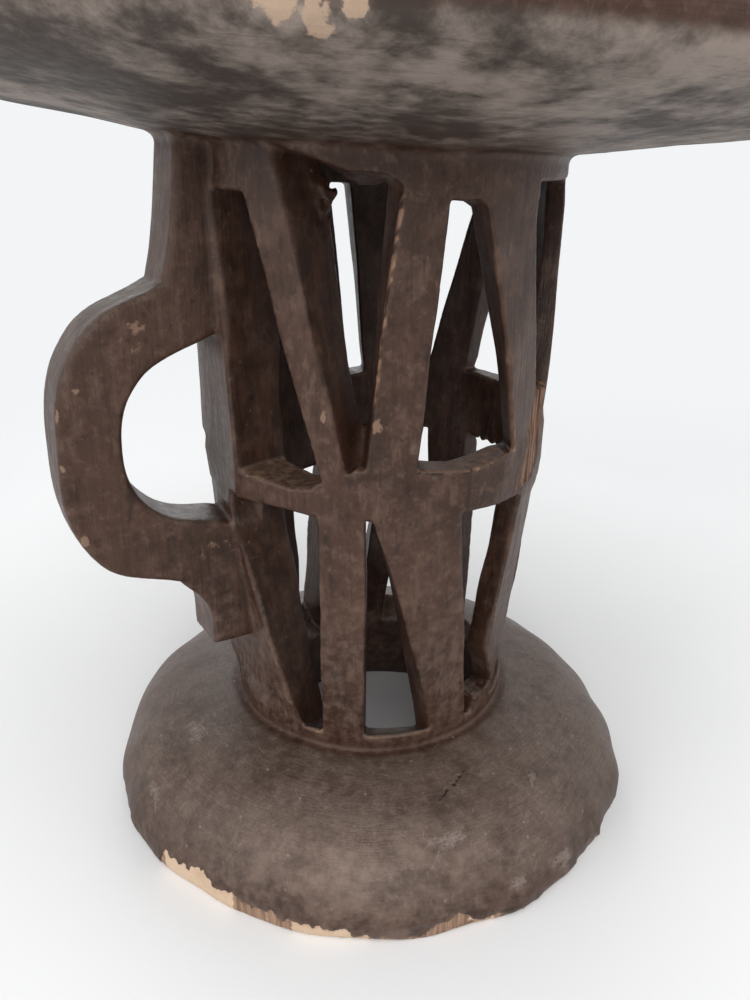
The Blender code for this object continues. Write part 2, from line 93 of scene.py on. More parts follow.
BRACKET_HEAD_DEPTH, BRACKET_HEAD_HEIGHT = 0.0256, GRIP_HEIGHT - 0.0614
BRACKET_FOOT_DEPTH, BRACKET_FOOT_HEIGHT, BRACKET_BEND_RISE = 0.0160, GRIP_HEIGHT - 0.0954, 0.55

# Carving: fillets, worn edges and the hand's irregularity
WINDOW_FILLET = 0.0019
EDGE_ROUND = 0.0017
HANDLE_ROUND = 0.0034
SEAT_FILLET = 0.0045
BASE_FILLET = 0.0016
HANDLE_FILLET = 0.0028
WEB_FILLET = 0.0050
WEB_FOOT_RECESS, WEB_HEAD_RECESS = 0.0035, 0.0300
WALL_WOBBLE, EDGE_WOBBLE = 0.00030, 0.28
FACE_FLATNESS, FACE_BLEND, FACE_FADE = 0.85, 0.0020, 0.0120

# Degrees that the hewn face of a strut is turned, and bearings at which the flats of the ring meet
FACE_TURN = {"upper_strut_1": -2.0, "upper_strut_2": 2.0, "upper_strut_3": 6.0, "upper_strut_4": 3.0,
             "upper_strut_6": 3.0, "upper_strut_7": -3.0, "upper_strut_8": 2.0, "lower_strut_2": 2.0,
             "lower_strut_3": 4.0, "lower_strut_4": -2.0, "lower_strut_6": 3.0, "lower_strut_8": -3.0}
RING_FLATS = (14.0, 41.0, 66.0, 89.2, 102.2, 116.0, 134.0, 155.0, 180.0, 206.0, 233.0, 262.0, 290.0, 318.0, 346.0)

# Mesh: spacing of the grid, cells along a block and blocks at a time, and how deep the pieces' inner borders stay
FINE, COARSE = 0.0011, 0.0017
BLOCK, BATCH = 10, 400
FAR = 0.02
BORDER_DEPTH = 0.0006
GRID_SIDE, GRID_LOW, GRID_TOP = 0.196, -0.0061, 0.356
FINE_X, FINE_Y, FINE_Z = (-0.142, 0.080), (-0.080, 0.080), (0.044, 0.292)

# Where the wall, the handle and the seat are worked out, and the height below which a point is on the base
WALL_REACH, WALL_LOW, WALL_TOP = 0.1, 0.01, 0.31
HANDLE_NEAR, HANDLE_SIDE, HANDLE_LOW, HANDLE_TOP = 0.055, 0.036, 0.065, 0.32
SEAT_LOW, BASE_TOP = 0.25, 0.05
DEGREE = math.pi / 180

NODES = ["base_dome", "foot_ring", "middle_ring", "seat_collar", "seat", "front_web",
         "handle_stem", "handle_loop", "handle_bracket", *UPPER_STRUTS, *LOWER_STRUTS]
LABEL = {name: index + 1 for index, name in enumerate(NODES)}


# Plain geometry, on arrays

def smooth_min(first, second, reach):
    overlap = np.maximum(reach - np.abs(first - second), 0.0)
    return np.minimum(first, second) - overlap * overlap / (4.0 * reach)


def smooth_max(first, second, reach):
    return -smooth_min(-first, -second, reach)


def mix(first, second, share):
    return first + (second - first) * share


def ramp(value, low, high):
    share = np.clip((value - low) / (high - low), 0.0, 1.0)
    return share * share * (3.0 - 2.0 * share)


def turn_between(bearing, centre):
    return (bearing - centre + 180.0) % 360.0 - 180.0


def direction(bearing):
    angle = math.radians(bearing + 180.0)
    return Vector((math.cos(angle), math.sin(angle), 0.0))


def waves(points, length, count, seed):
    """Smooth noise of unit strength: a sum of plane waves of about one length."""
    rng = np.random.default_rng(seed)
    total = np.zeros(len(points), np.float32)
    for _ in range(count):
        axis = rng.normal(size=3)
        axis *= math.tau / (length * rng.uniform(0.7, 1.5)) / np.linalg.norm(axis)
        total += np.sin(points @ axis.astype(np.float32) + np.float32(rng.uniform(0, math.tau)))
    return total * math.sqrt(2.0 / count)


def lattice_random(cells, salt):
    """A number from 0 to 1 for each cell of a lattice."""
    mixed = (cells[:, 0] * 73856093) ^ (cells[:, 1] * 19349663) ^ (cells[:, 2] * 83492791)
    mixed = (mixed + salt * 2654435761) & 0xFFFFFFFF
    mixed = ((mixed ^ (mixed >> 15)) * 2246822519) & 0xFFFFFFFF
    mixed = ((mixed ^ (mixed >> 13)) * 3266489917) & 0xFFFFFFFF
    return ((mixed ^ (mixed >> 16)) & 0xFFFFFF) / float(0x1000000)


def scallops(points, size, salt):
    """Square of the distance to the nearest of scattered points, about 0 to 1: hollows of a gouge."""
    scaled = points / np.asarray(size)
    home = np.floor(scaled).astype(np.int64)
    nearest = np.full(len(points), 9.0)
    for step in np.ndindex(3, 3, 3):
        cells = home + np.asarray(step) - 1
        gap = np.zeros(len(points))
        for axis in range(3):
            place = cells[:, axis] + lattice_random(cells, salt + axis)
            gap += (scaled[:, axis] - place) ** 2
        nearest = np.minimum(nearest, gap)
    return nearest


def polygon_distance(across, up, corners):
    """Signed distance to a closed polygon, negative inside it."""
    nearest = np.full(across.shape, np.inf, np.float32)
    inside = np.zeros(across.shape, bool)
    for (x0, y0), (x1, y1) in zip(corners, np.roll(corners, -1, axis=0)):
        dx, dy = x1 - x0, y1 - y0
        length = dx * dx + dy * dy
        if length < 1e-14:
            continue
        share = np.clip(((across - x0) * dx + (up - y0) * dy) / length, 0.0, 1.0)
        nearest = np.minimum(nearest, (across - x0 - share * dx) ** 2 + (up - y0 - share * dy) ** 2)
        if dy != 0.0:
            crosses = ((y0 > up) != (y1 > up)) & (across < x0 + (up - y0) * (dx / dy))
            inside ^= crosses
    return np.where(inside, -1.0, 1.0) * np.sqrt(nearest)


# The stool's own levels and outlines

def column_radius(height):
    lower = mix(COLUMN_FOOT_RADIUS, COLUMN_WAIST_RADIUS,
                (height - DOME_HEIGHT) / (WAIST_HEIGHT - DOME_HEIGHT))
    upper = mix(COLUMN_WAIST_RADIUS, COLUMN_TOP_RADIUS,
                (height - WAIST_HEIGHT) / (SEAT_HEIGHT - WAIST_HEIGHT))
    return np.where(height < WAIST_HEIGHT, lower, upper)


def bore_radius(height):
    middle = (WALL_THIN + WALL_THICK) / 2
    foot = COLUMN_FOOT_RADIUS - middle
    flared = foot + BASE_HOLE_FLARE * (1.0 - height / DOME_HEIGHT)
    return np.where(height < DOME_HEIGHT, flared, column_radius(height) - middle)


def wall_thickness(bearing):
    lean = np.cos(np.radians(bearing - WALL_THIN_BEARING))
    return (WALL_THICK + WALL_THIN) / 2 - (WALL_THICK - WALL_THIN) / 2 * lean


def inward_share(bearing, radius, outer):
    """0 at the wall's outside and 1 at the bore."""
    return np.clip((outer - radius) / wall_thickness(bearing), 0.0, 1.2)


def ring_top_level(bearing):
    lift = (1.0 + np.cos(np.radians(bearing - RING_RISE_BEARING))) / 2
    return RING_TOP + RING_RISE * lift ** RING_RISE_POWER


def ring_bottom_level(bearing):
    turn = bearing % 360.0
    return RING_BOTTOM - RING_DROP * (ramp(turn, *RING_DROP_START) - ramp(turn, *RING_DROP_END))


def seat_level(bearing, radius):
    return SEAT_HEIGHT - math.tan(SEAT_TILT) * radius * np.cos(np.radians(bearing - SEAT_LOW_BEARING))


def collar_bottom_level(bearing):
    share = np.minimum(1.0, np.abs(turn_between(bearing, COLLAR_DROP_BEARING)) / COLLAR_DROP_SPREAD)
    drop = COLLAR_DROP * np.cos(math.pi / 2 * share) ** 2
    return seat_level(bearing, COLUMN_TOP_RADIUS) - COLLAR_HEIGHT - drop


def sill_level(radius):
    return SILL_HEIGHT - SILL_SLOPE * (COLUMN_FOOT_RADIUS - radius)


def quarter(count):
    return [math.pi / 2 * (step + 1) / count for step in range(count)]


def base_profile():
    profile = [(0.0, DOME_HEIGHT), (COLUMN_FOOT_RADIUS, DOME_HEIGHT)]
    for angle in quarter(28):
        spread = math.sin(angle) ** (1.0 / DOME_SHOULDER_POWER)
        profile.append((mix(COLUMN_FOOT_RADIUS, BASE_RADIUS, spread),
                        mix(DOME_HEIGHT, BASE_RIM_HEIGHT, 1.0 - math.cos(angle))))
    profile += [(BASE_RADIUS - 0.3 * BASE_RIM_UNDERCUT, 0.4 * BASE_RIM_HEIGHT),
                (BASE_RADIUS - BASE_RIM_UNDERCUT, 0.0), (0.0, 0.0)]
    return np.asarray(profile)


def seat_profile():
    crest = SEAT_UNDER_RISE + SEAT_RIM_HEIGHT
    widest = SEAT_UNDER_RISE + SEAT_RIM_HEIGHT * SEAT_WIDEST_SHARE
    crest_radius = SEAT_RADIUS - SEAT_CREST_WIDTH
    flat = COLUMN_TOP_RADIUS + SEAT_FLAT_MARGIN
    profile = []
    for step in range(25):
        share = step / 24
        drop = SEAT_DISH_DEPTH * (1.0 - share ** SEAT_DISH_POWER)
        profile.append((crest_radius * share, crest - drop))
    for angle in quarter(12):
        profile.append((crest_radius + SEAT_CREST_WIDTH * math.sin(angle),
                        mix(widest, crest, math.cos(angle))))
    for angle in quarter(30):
        share = math.cos(angle)
        round_up = 1.0 - (1.0 - share ** SEAT_UNDER_ROUNDNESS) ** (1.0 / SEAT_UNDER_ROUNDNESS)
        height = SEAT_UNDER_RISE * share + (widest - SEAT_UNDER_RISE) * round_up
        profile.append((mix(flat, SEAT_RADIUS, share), height))
    profile.append((0.0, 0.0))
    return np.asarray(profile)


def seat_place():
    """A point of the seat's axis in the plane of its flat underside, and the axis."""
    lean = direction(SEAT_LOW_BEARING) * math.tan(SEAT_TILT)
    normal = Vector((lean.x, lean.y, 1.0)).normalized()
    centre = -normal * (SEAT_UNDER_RISE + SEAT_RIM_HEIGHT * SEAT_WIDEST_SHARE)
    centre.z = SEAT_HEIGHT - lean.dot(centre)
    return np.asarray(centre), np.asarray(normal)


def curve_points(corners):
    """Points along a closed outline of (length out from the wall, height, smooth)."""
    curve = bpy.data.curves.new("outline", "CURVE")
    curve.resolution_u = 10
    spline = curve.splines.new("BEZIER")
    spline.bezier_points.add(len(corners) - 1)
    spline.use_cyclic_u = True
    for point, (out, height, smooth) in zip(spline.bezier_points, corners):
        point.co = (float(column_radius(height)) + out, height, 0.0)
        kind = "AUTO" if smooth else "VECTOR"
        point.handle_left_type = kind
        point.handle_right_type = kind
    outline = bpy.data.objects.new("outline", curve)
    bpy.context.scene.collection.objects.link(outline)
    graph = bpy.context.evaluated_depsgraph_get()
    mesh = bpy.data.meshes.new_from_object(outline.evaluated_get(graph))
    points = np.asarray([vertex.co[:2] for vertex in mesh.vertices])
    bpy.data.objects.remove(outline, do_unlink=True)
    bpy.data.curves.remove(curve)
    bpy.data.meshes.remove(mesh)
    return points


def handle_outline():
    head = SEAT_HEIGHT + SEAT_RIM_HEIGHT
    stem_bend = mix(STEM_FOOT_HEIGHT, SEAT_HEIGHT, STEM_BEND_RISE)
    stem_depth = mix(STEM_HEAD_DEPTH, STEM_FOOT_DEPTH, STEM_BEND_DEPTH)
    bracket_bend = mix(BRACKET_FOOT_HEIGHT, BRACKET_HEAD_HEIGHT, BRACKET_BEND_RISE)
    return curve_points([
        (-HANDLE_ROOT, head, False), (STEM_HEAD_DEPTH, head, False),
        (STEM_HEAD_DEPTH, SEAT_HEIGHT, False), (stem_depth, stem_bend, True),
        (STEM_FOOT_DEPTH, STEM_FOOT_HEIGHT, False),
        (HANDLE_REACH - SHOULDER_SETBACK, SHOULDER_HEIGHT, True), (HANDLE_REACH, GRIP_HEIGHT, True),
        (HANDLE_REACH - HEEL_SETBACK, HEEL_HEIGHT, True),
        (BRACKET_HEAD_DEPTH, BRACKET_HEAD_HEIGHT, False), (BRACKET_FOOT_DEPTH, bracket_bend, True),
        (BRACKET_FOOT_DEPTH, BRACKET_FOOT_HEIGHT, False), (-HANDLE_ROOT, BRACKET_FOOT_HEIGHT, False)])


def hole_outline():
    reach = HANDLE_REACH - GRIP_WIDTH
    return curve_points([
        (-HANDLE_ROOT, HOLE_BOTTOM, False), (0.0, HOLE_BOTTOM, False),
        (reach - HOLE_LOWER_SETBACK, HOLE_LOWER_CORNER, True), (reach, GRIP_HEIGHT, True),
        (reach - HOLE_UPPER_SETBACK, HOLE_UPPER_CORNER, True),
        (0.0, HOLE_TOP, False), (-HANDLE_ROOT, HOLE_TOP, False)])


BASE_PROFILE = base_profile()
SEAT_PROFILE = seat_profile()
SEAT_CENTRE, SEAT_AXIS = seat_place()
HANDLE_OUTLINE = handle_outline()
HOLE_OUTLINE = hole_outline()
BORE_CENTRE = np.asarray(direction(WALL_THIN_BEARING)) * (WALL_THICK - WALL_THIN) / 2

# How much higher than the plain levels the carved windows' feet and heads are, by bearing, in tenths of a mm
FOOT_BEARINGS = (4, 14, 24, 35, 41, 46, 50, 55, 62, 73, 80, 88, 105, 117)
FOOT_LIFTS = (0, 17, 0, -14, 0, 23, 45, 85, 80, 66, 46, 28, 30, 0)
HEAD_BEARINGS = (-118, -112, -92, -86, 7, 9, 24, 27, 32, 34, 38.5, 44.5, 53, 62, 70, 76, 79, 87, 90)
HEAD_LIFTS = (0, -95, -95, 0, 0, -77, -77, 0, 80, 84, 55, 40, 10, 20, 0, 0, 25, 25, 0)
LIFT_UNIT = 0.0001

# How much lower the front window's head is at the bore
HEAD_FUNNEL = 0.0045

# A split hub: the slot that is filled there, and the torn face's left and right border at some heights
HUB_BEARING, HUB_HALF, HUB_HEAD = 126.0, 6.0, 0.2010
SPLIT_HEIGHTS = (0.1610, 0.1673, 0.1911, 0.2110)
SPLIT_LEFT, SPLIT_RIGHT = (112.0, 113.2, 118.8, 122.5), (122.0, 127.0, 132.0, 129.0)
SPLIT_DEPTH = 0.0009

# Damage: the base's flaked and notched rim, a torn corner of the front window, and a broken strut
FLAKED_BEARINGS = (14, 16, 20, 25, 30, 34, 38, 43, 47, 51, 56, 60, 66, 71, 73, 77, 80, 83, 88, 100, 113, 125, 129)
FLAKED_HEIGHTS = (0, 98, 96, 100, 84, 92, 78, 70, 82, 70, 54, 30, 18, 20, 66, 78, 52, 30, 24, 28, 32, 24, 0)
PALE_BEARINGS = (15, 17, 33.5, 34.5, 46, 47, 60, 62, 78, 80, 84, 87)
PALE_SHARES = (0.2, 1.0, 0.95, 0.34, 0.34, 0.80, 0.62, 0.30, 0.34, 0.62, 0.55, 0.0)
FLAKE_UNIT, FLAKE_DEPTH = 0.0001, 0.0014
RIM_NOTCHES = ((-10.0, 2.6, 0.0018), (113.0, 2.4, 0.0018), (131.2, 3.0, 0.0024), (158.0, 5.0, 0.0014),
               (177.0, 3.0, 0.0020), (214.0, 4.0, 0.0022), (262.0, 6.0, 0.0016), (318.0, 4.0, 0.0020))
RIM_CHIPS = ((119.5, 6.5), (70.0, 7.0), (38.0, 9.0), (196.0, 10.0), (240.0, 8.0), (290.0, 11.0))
RAGGED_BEARING, RAGGED_HEIGHT, RAGGED_HALF, RAGGED_TALL = 47.0, 0.2730, 7.0, 0.009
RAGGED_FILL, RAGGED_RISE, RAGGED_TEETH = 4.5, (0.260, 0.277), 1.1
BROKEN_STRUT, BROKEN_HEIGHTS, BROKEN_DEPTH = "lower_strut_3", (0.0610, 0.0838), 12.0


def flaked_height(bearing, points):
    """Height up to which the dark skin of the base's rim has flaked off."""
    height = np.interp(bearing % 360.0, FLAKED_BEARINGS, FLAKED_HEIGHTS, 0.0, 0.0) * FLAKE_UNIT
    ragged = waves(points * (1, 1, 0.3), 0.0075, 9, 17) * 0.0011 + waves(points, 0.0035, 8, 19) * 0.0004
    return height + ragged * np.minimum(1.0, height / 0.003)


def notch_depth(bearing):
    """How far the base's rim is set back by its notches and by the flats of larger chips."""
    depth = np.zeros(bearing.shape, np.float32)
    for centre, half, most in RIM_NOTCHES:
        depth = np.maximum(depth, most * np.clip(1.0 - np.abs(turn_between(bearing, centre)) / half, 0.0, None))
    for centre, half in RIM_CHIPS:
        turn = np.abs(turn_between(bearing, centre))
        flat = 1.0 - math.cos(math.radians(half)) / np.cos(np.radians(np.minimum(turn, half)))
        depth = np.maximum(depth, BASE_RADIUS * flat)
    return depth


def broken_edge(height):
    """Degrees that the left edge of the broken strut is set back, from its step down to the lip."""
    low, high = BROKEN_HEIGHTS
    return BROKEN_DEPTH * np.clip((high - height) / (high - low), 0.0, 1.0) * ramp(height, low - 0.002, low)


def level_lift(bearing, bearings, lifts):
    return np.interp(bearing, bearings, lifts, 0.0, 0.0).astype(np.float32) * LIFT_UNIT


def split_share(bearing, height):
    """1 on the torn face of the split hub, falling to 0 at its borders."""
    left = np.interp(height, SPLIT_HEIGHTS, SPLIT_LEFT).astype(np.float32)
    right = np.interp(height, SPLIT_HEIGHTS, SPLIT_RIGHT).astype(np.float32)
    inside = ramp(bearing, left - 0.5, left + 0.5) * ramp(bearing, right + 2.0, right - 2.0)
    return inside * ramp(height, SPLIT_HEIGHTS[0] - 0.001, SPLIT_HEIGHTS[0] + 0.002) * ramp(
        height, SPLIT_HEIGHTS[-1], SPLIT_HEIGHTS[-1] - 0.008)


def strut_union(bearing, radius, height, struts, low, high, outer):
    """Distance to the struts between two levels, to their hewn faces, and which strut is nearest."""
    share = np.clip((height - low) / (high - low), -0.2, 1.2)
    total = np.full(bearing.shape, FAR, np.float32)
    nearest = np.full(bearing.shape, FAR * 50, np.float32)
    face = radius - outer
    inward = inward_share(bearing, radius, outer)
    which = np.zeros(bearing.shape, np.int16)
    for name, (foot, head) in struts.items():
        left, right = mix(foot[0], head[0], share), mix(foot[1], head[1], share)
        if name in STRUT_SPLAY:
            splay_foot, splay_head = STRUT_SPLAY[name]
            left = left - inward * mix(splay_foot[0], splay_head[0], share)
            right = right + inward * mix(splay_foot[1], splay_head[1], share)
        if name == BROKEN_STRUT:
            left = left + broken_edge(height)
        centre, half = (left + right) / 2, (right - left) / 2
        rise = math.radians((head[0] + head[1] - foot[0] - foot[1]) / 2) * COLUMN_WAIST_RADIUS
        lean = math.cos(math.atan2(rise, 0.105))
        turn = turn_between(bearing, centre)
        gap = ((np.abs(turn) - half) * (DEGREE * lean) * radius).astype(np.float32)
        total = smooth_min(total, gap, WINDOW_FILLET)
        twist = FACE_TURN.get(name, 0.0)
        hewn = radius * np.cos(np.radians(np.clip(turn - twist, -45.0, 45.0)))
        hewn = hewn - outer * (1.0 + np.cos(np.radians(half + abs(twist)))) / 2
        face = mix(face, hewn, np.clip(0.5 + 0.5 * (nearest - gap) / FACE_BLEND, 0.0, 1.0))
        closer = gap < nearest
        nearest[closer] = gap[closer]
        which[closer] = LABEL[name]
    buried = np.maximum(low - 0.006 - height, height - high - 0.014)
    return np.maximum(total, buried), face, which


def ring_face(bearing, radius, outer):
    """Distance to the outside of the middle ring, hewn flat between the bearings of RING_FLATS."""
    marks = np.asarray((RING_FLATS[-1] - 360.0, *RING_FLATS, RING_FLATS[0] + 360.0))
    turn = bearing % 360.0
    after = np.searchsorted(marks, turn, side="right")
    half = (marks[after] - marks[after - 1]) / 2
    off_middle = np.radians(turn - marks[after] + half)
    return radius * np.cos(off_middle) - (outer + 0.0008) * np.cos(np.radians(half))


def wall_field(bearing, radius, height, points):
    """Distance to the pierced wall, still without its bore, and the nearest struts."""
    outer = column_radius(height)
    ring_top, ring_bottom = ring_top_level(bearing), ring_bottom_level(bearing)
    collar_bottom = collar_bottom_level(bearing)
    sill = sill_level(radius)
    upper, upper_face, upper_which = strut_union(bearing, radius, height, UPPER_STRUTS, ring_top,
                                                 collar_bottom, outer)
    lower, lower_face, lower_which = strut_union(bearing, radius, height, LOWER_STRUTS, sill,
                                                 ring_bottom, outer)
    plain = radius - outer
    upper_face = mix(plain, upper_face, FACE_FLATNESS * ramp(height, collar_bottom, collar_bottom - FACE_FADE))
    lower_face = mix(plain, lower_face, FACE_FLATNESS * ramp(height, sill, sill + FACE_FADE))
    outside = mix(ring_face(bearing, radius, outer), upper_face, ramp(height, ring_top, ring_top + 0.007))
    outside = mix(outside, lower_face, ramp(height, ring_bottom, ring_bottom - 0.007))
    outside = outside + waves(points, 0.045, 7, 3) * WALL_WOBBLE
    outside = outside + split_share(bearing, height) * (SPLIT_DEPTH + 0.0003 * waves(
        points * (1, 1, 0.12), 0.0022, 8, 79))

    window_foot = ring_top + level_lift(bearing, FOOT_BEARINGS, FOOT_LIFTS)
    funnel = HEAD_FUNNEL * inward_share(bearing, radius, outer)
    funnel = funnel * ramp(bearing, 40.0, 48.0) * ramp(bearing, 66.0, 58.0)
    window_head = collar_bottom + level_lift(bearing, HEAD_BEARINGS, HEAD_LIFTS) - funnel
    frayed = waves(points * (1, 1, 0.5), 0.0040, 8, 73) * 0.0006 * (np.abs(bearing) > 135.0)
    ring = np.maximum(ring_bottom + frayed - height, height - window_foot)
    hub = np.maximum((np.abs(turn_between(bearing, HUB_BEARING)) - HUB_HALF) * DEGREE * radius,
                     np.maximum(height - HUB_HEAD, ring_bottom - height))
    ring = np.minimum(ring, hub)
    solid = smooth_min(upper, ring, WINDOW_FILLET)
    solid = smooth_min(solid, lower, WINDOW_FILLET)
    solid = smooth_min(solid, window_head - height, WINDOW_FILLET)
    solid = smooth_min(solid, height - sill, WINDOW_FILLET)
    wear = EDGE_ROUND * np.clip(1.0 + 0.45 * waves(points, 0.030, 6, 61), 0.45, 2.2)
    wall = smooth_max(outside, solid, wear)

    share = (height - ring_top) / (collar_bottom - ring_top)
    first, second = UPPER_STRUTS["upper_strut_1"], UPPER_STRUTS["upper_strut_2"]
    left = mix(first[0][1], first[1][1], share)
    right = mix(second[0][0], second[1][0], share)
    beside = np.maximum(left - 1.5 - bearing, bearing - right - 1.5) * DEGREE * radius
    head = height - mix(ring_top, collar_bottom, WEB_HEAD)
    recess = mix(WEB_FOOT_RECESS, WEB_HEAD_RECESS, np.clip(share / WEB_HEAD, 0.0, 1.0))
    web = np.maximum(np.maximum(beside, head), np.maximum(plain + recess, ring_top - 0.004 - height))
    wall = smooth_min(wall, web, WEB_FILLET).astype(np.float32)
    in_web = (bearing > left) & (bearing < right) & (height > ring_top) & (share < WEB_HEAD + 0.06)
    return wall, upper_which, lower_which, in_web


def edge_swing(bearing, radius, height, points):
    """Degrees that the struts' edges wander, with the torn wood in the front window's upper corner."""
    torn = (turn_between(bearing, RAGGED_BEARING) / RAGGED_HALF) ** 2
    torn = np.exp(-torn - ((height - RAGGED_HEIGHT) / RAGGED_TALL) ** 2)
    inward = inward_share(bearing, radius, column_radius(height))
    torn = (torn * ramp(inward, 0.4, 0.9)).astype(np.float32)
    teeth = RAGGED_FILL * ramp(height, *RAGGED_RISE) + RAGGED_TEETH * waves(points, 0.0036, 6, 71)
    return waves(points, 0.080, 7, 5) * EDGE_WOBBLE - torn * teeth


def field(points, with_labels=False):
    """Signed distance to the stool's surface, and with_labels the node that each inner point is in."""
    points = points.astype(np.float32)
    x, y, height = points.T
    radius = np.hypot(x, y)
    bearing = np.degrees(np.arctan2(-y, -x))
    total = np.maximum(radius - column_radius(height), FAR * 0.5).astype(np.float32)

    near = (radius < WALL_REACH) & (height < WALL_TOP) & (height > WALL_LOW)
    which_upper = np.zeros(len(points), np.int16)
    which_lower = np.zeros(len(points), np.int16)
    in_web = np.zeros(len(points), bool)
    if near.any():
        part = points[near]
        turn, out, rise = bearing[near], radius[near], height[near]
        turn = turn + edge_swing(turn, out, rise, part)
        total[near], which_upper[near], which_lower[near], in_web[near] = wall_field(turn, out, rise, part)

    low = height < DOME_HEIGHT + FAR
    if low.any():
        part = points[low]
        uneven = 0.0012 * waves(part * (1, 1, 0.3), 0.08, 6, 11) + 0.0007 * waves(part * (1, 1, 0.3), 0.03, 6, 12)
        round_base = radius[low] - uneven * ramp(radius[low], 0.09, 0.12)
        base = polygon_distance(round_base, height[low], BASE_PROFILE).astype(np.float32)
        depth = notch_depth(bearing[low]) + waves(part * (1, 1, 0.35), 0.010, 8, 13) * 0.0003
        chipped = round_base - BASE_RADIUS + depth - 0.35 * np.maximum(height[low] - 0.006, 0.0)
        base = smooth_max(base, np.where(depth > 0.0002, chipped, -FAR), 0.0010)
        flaked = flaked_height(bearing[low], part)
        flake = np.maximum(height[low] - flaked, BASE_RADIUS - FLAKE_DEPTH - round_base)
        base = smooth_max(base, np.where(flaked > 0.0004, -flake, -FAR), 0.0008)
        total[low] = smooth_min(total[low], base, BASE_FILLET)

    grip = (x < -HANDLE_NEAR) & (np.abs(y) < HANDLE_SIDE) & (height > HANDLE_LOW) & (height < HANDLE_TOP)
    if grip.any():
        flat = polygon_distance(-x[grip], height[grip], HANDLE_OUTLINE)
        hole = polygon_distance(-x[grip], height[grip], HOLE_OUTLINE)
        flat = smooth_max(flat, -hole, 0.001)
        handle = smooth_max(flat, np.abs(y[grip]) - HANDLE_THICKNESS / 2, HANDLE_ROUND).astype(np.float32)
        handle = handle + waves(points[grip], 0.035, 7, 23) * 0.0003
        total[grip] = smooth_min(total[grip], handle, HANDLE_FILLET)

    bore = bore_radius(height) - np.hypot(x - BORE_CENTRE[0], y - BORE_CENTRE[1])
    bore = bore + waves(points, 0.035, 6, 29) * 0.0004
    total = smooth_max(total, bore.astype(np.float32), EDGE_ROUND)

    high = height > SEAT_LOW
    if high.any():
        arm = points[high] - SEAT_CENTRE.astype(np.float32)
        rise = arm @ SEAT_AXIS.astype(np.float32)
        spread = np.sqrt(np.maximum((arm * arm).sum(axis=1) - rise * rise, 0.0))
        seat = polygon_distance(spread, rise, SEAT_PROFILE).astype(np.float32)
        seat = seat + waves(points[high], 0.06, 7, 31) * 0.0003
        total[high] = smooth_min(total[high], seat, SEAT_FILLET)
    if not with_labels:
        return total

    labels = np.zeros(len(points), np.int16)
    inner = total < 0.0
    labels[inner] = node_labels(bearing[inner], radius[inner], height[inner], which_upper[inner],
                                which_lower[inner], in_web[inner])
    return total, labels


def node_labels(bearing, radius, height, which_upper, which_lower, in_web):
    """The node that each point inside the stool belongs to, by the CAD model's own levels."""
    labels = np.full(bearing.shape, LABEL["base_dome"], np.int16)
    off_wall = radius > column_radius(height) + 0.0006
    at_handle = off_wall & (np.abs(bearing) < 35.0) & (height > 0.075)
    in_wall = ~off_wall | (~at_handle & (height > 0.075))
    sill = sill_level(radius)
    labels[in_wall & (height > sill - SILL_HEIGHT + DOME_HEIGHT)] = LABEL["foot_ring"]
    lower = in_wall & (height > sill)
    labels[lower] = which_lower[lower]
    labels[in_wall & (height > ring_bottom_level(bearing))] = LABEL["middle_ring"]
    upper = in_wall & (height > ring_top_level(bearing))
    labels[upper] = which_upper[upper]
    labels[upper & in_web] = LABEL["front_web"]
    labels[in_wall & (height > collar_bottom_level(bearing))] = LABEL["seat_collar"]
    labels[at_handle] = LABEL["handle_bracket"]
    labels[at_handle & (height > BRACKET_HEAD_HEIGHT)] = LABEL["handle_loop"]
    labels[at_handle & (height > STEM_FOOT_HEIGHT)] = LABEL["handle_stem"]
    labels[height > seat_level(bearing, radius)] = LABEL["seat"]
    return labels


# Meshing: one vertex in each cell that the surface, or the border of two nodes, passes through

CORNERS = np.asarray(list(np.ndindex(2, 2, 2)))
CELL_EDGES = [(a, b) for a in range(8) for b in range(a + 1, 8)
              if np.abs(CORNERS[a] - CORNERS[b]).sum() == 1]


def in_parts(function, points, size=600000):
    return np.concatenate([function(points[start:start + size])
                           for start in range(0, len(points), size)])


def grid_line(low, high, fine_low, fine_high):
    """Coordinates along one axis, closest together between fine_low and fine_high."""
    marks = [low]
    while marks[-1] < high or (len(marks) - 1) % BLOCK:
        away = max(fine_low - marks[-1], marks[-1] - fine_high, 0.0)
        marks.append(marks[-1] + min(COARSE, FINE + 0.05 * away))
    return np.asarray(marks)


def on_grid(lines, index):
    """Places of grid points, given by their three indices."""
    return np.stack([line[index[..., axis]] for axis, line in enumerate(lines)], -1)


def active_blocks(lines):
    counts = [(len(line) - 1) // BLOCK for line in lines]
    blocks = np.stack(np.meshgrid(*(np.arange(count) for count in counts), indexing="ij"), -1)
    blocks = blocks.reshape(-1, 3)
    low, high = on_grid(lines, blocks * BLOCK), on_grid(lines, (blocks + 1) * BLOCK)
    reach = np.linalg.norm(high - low, axis=1) / 2 + 0.004
    return blocks[np.abs(in_parts(field, (low + high) / 2)) < reach]


def cell_vertices(values, labels):
    """Where the surface or a border passes through each cell, in cells, and whether it is surface."""
    place = np.zeros((len(values), 3))
    count = np.zeros(len(values))
    outer = (labels == 0).any(axis=1)
    for a, b in CELL_EDGES:
        crossed = np.where(outer, (labels[:, a] == 0) != (labels[:, b] == 0), labels[:, a] != labels[:, b])
        gap = values[:, a] - values[:, b]
        share = np.where(outer & (gap != 0.0), values[:, a] / np.where(gap == 0.0, 1.0, gap), 0.5)
        share = np.clip(share, 0.0, 1.0)
        point = CORNERS[a] + (CORNERS[b] - CORNERS[a]) * share[:, None]
        place += np.where(crossed[:, None], point, 0.0)
        count += crossed
    return place / count[:, None], outer


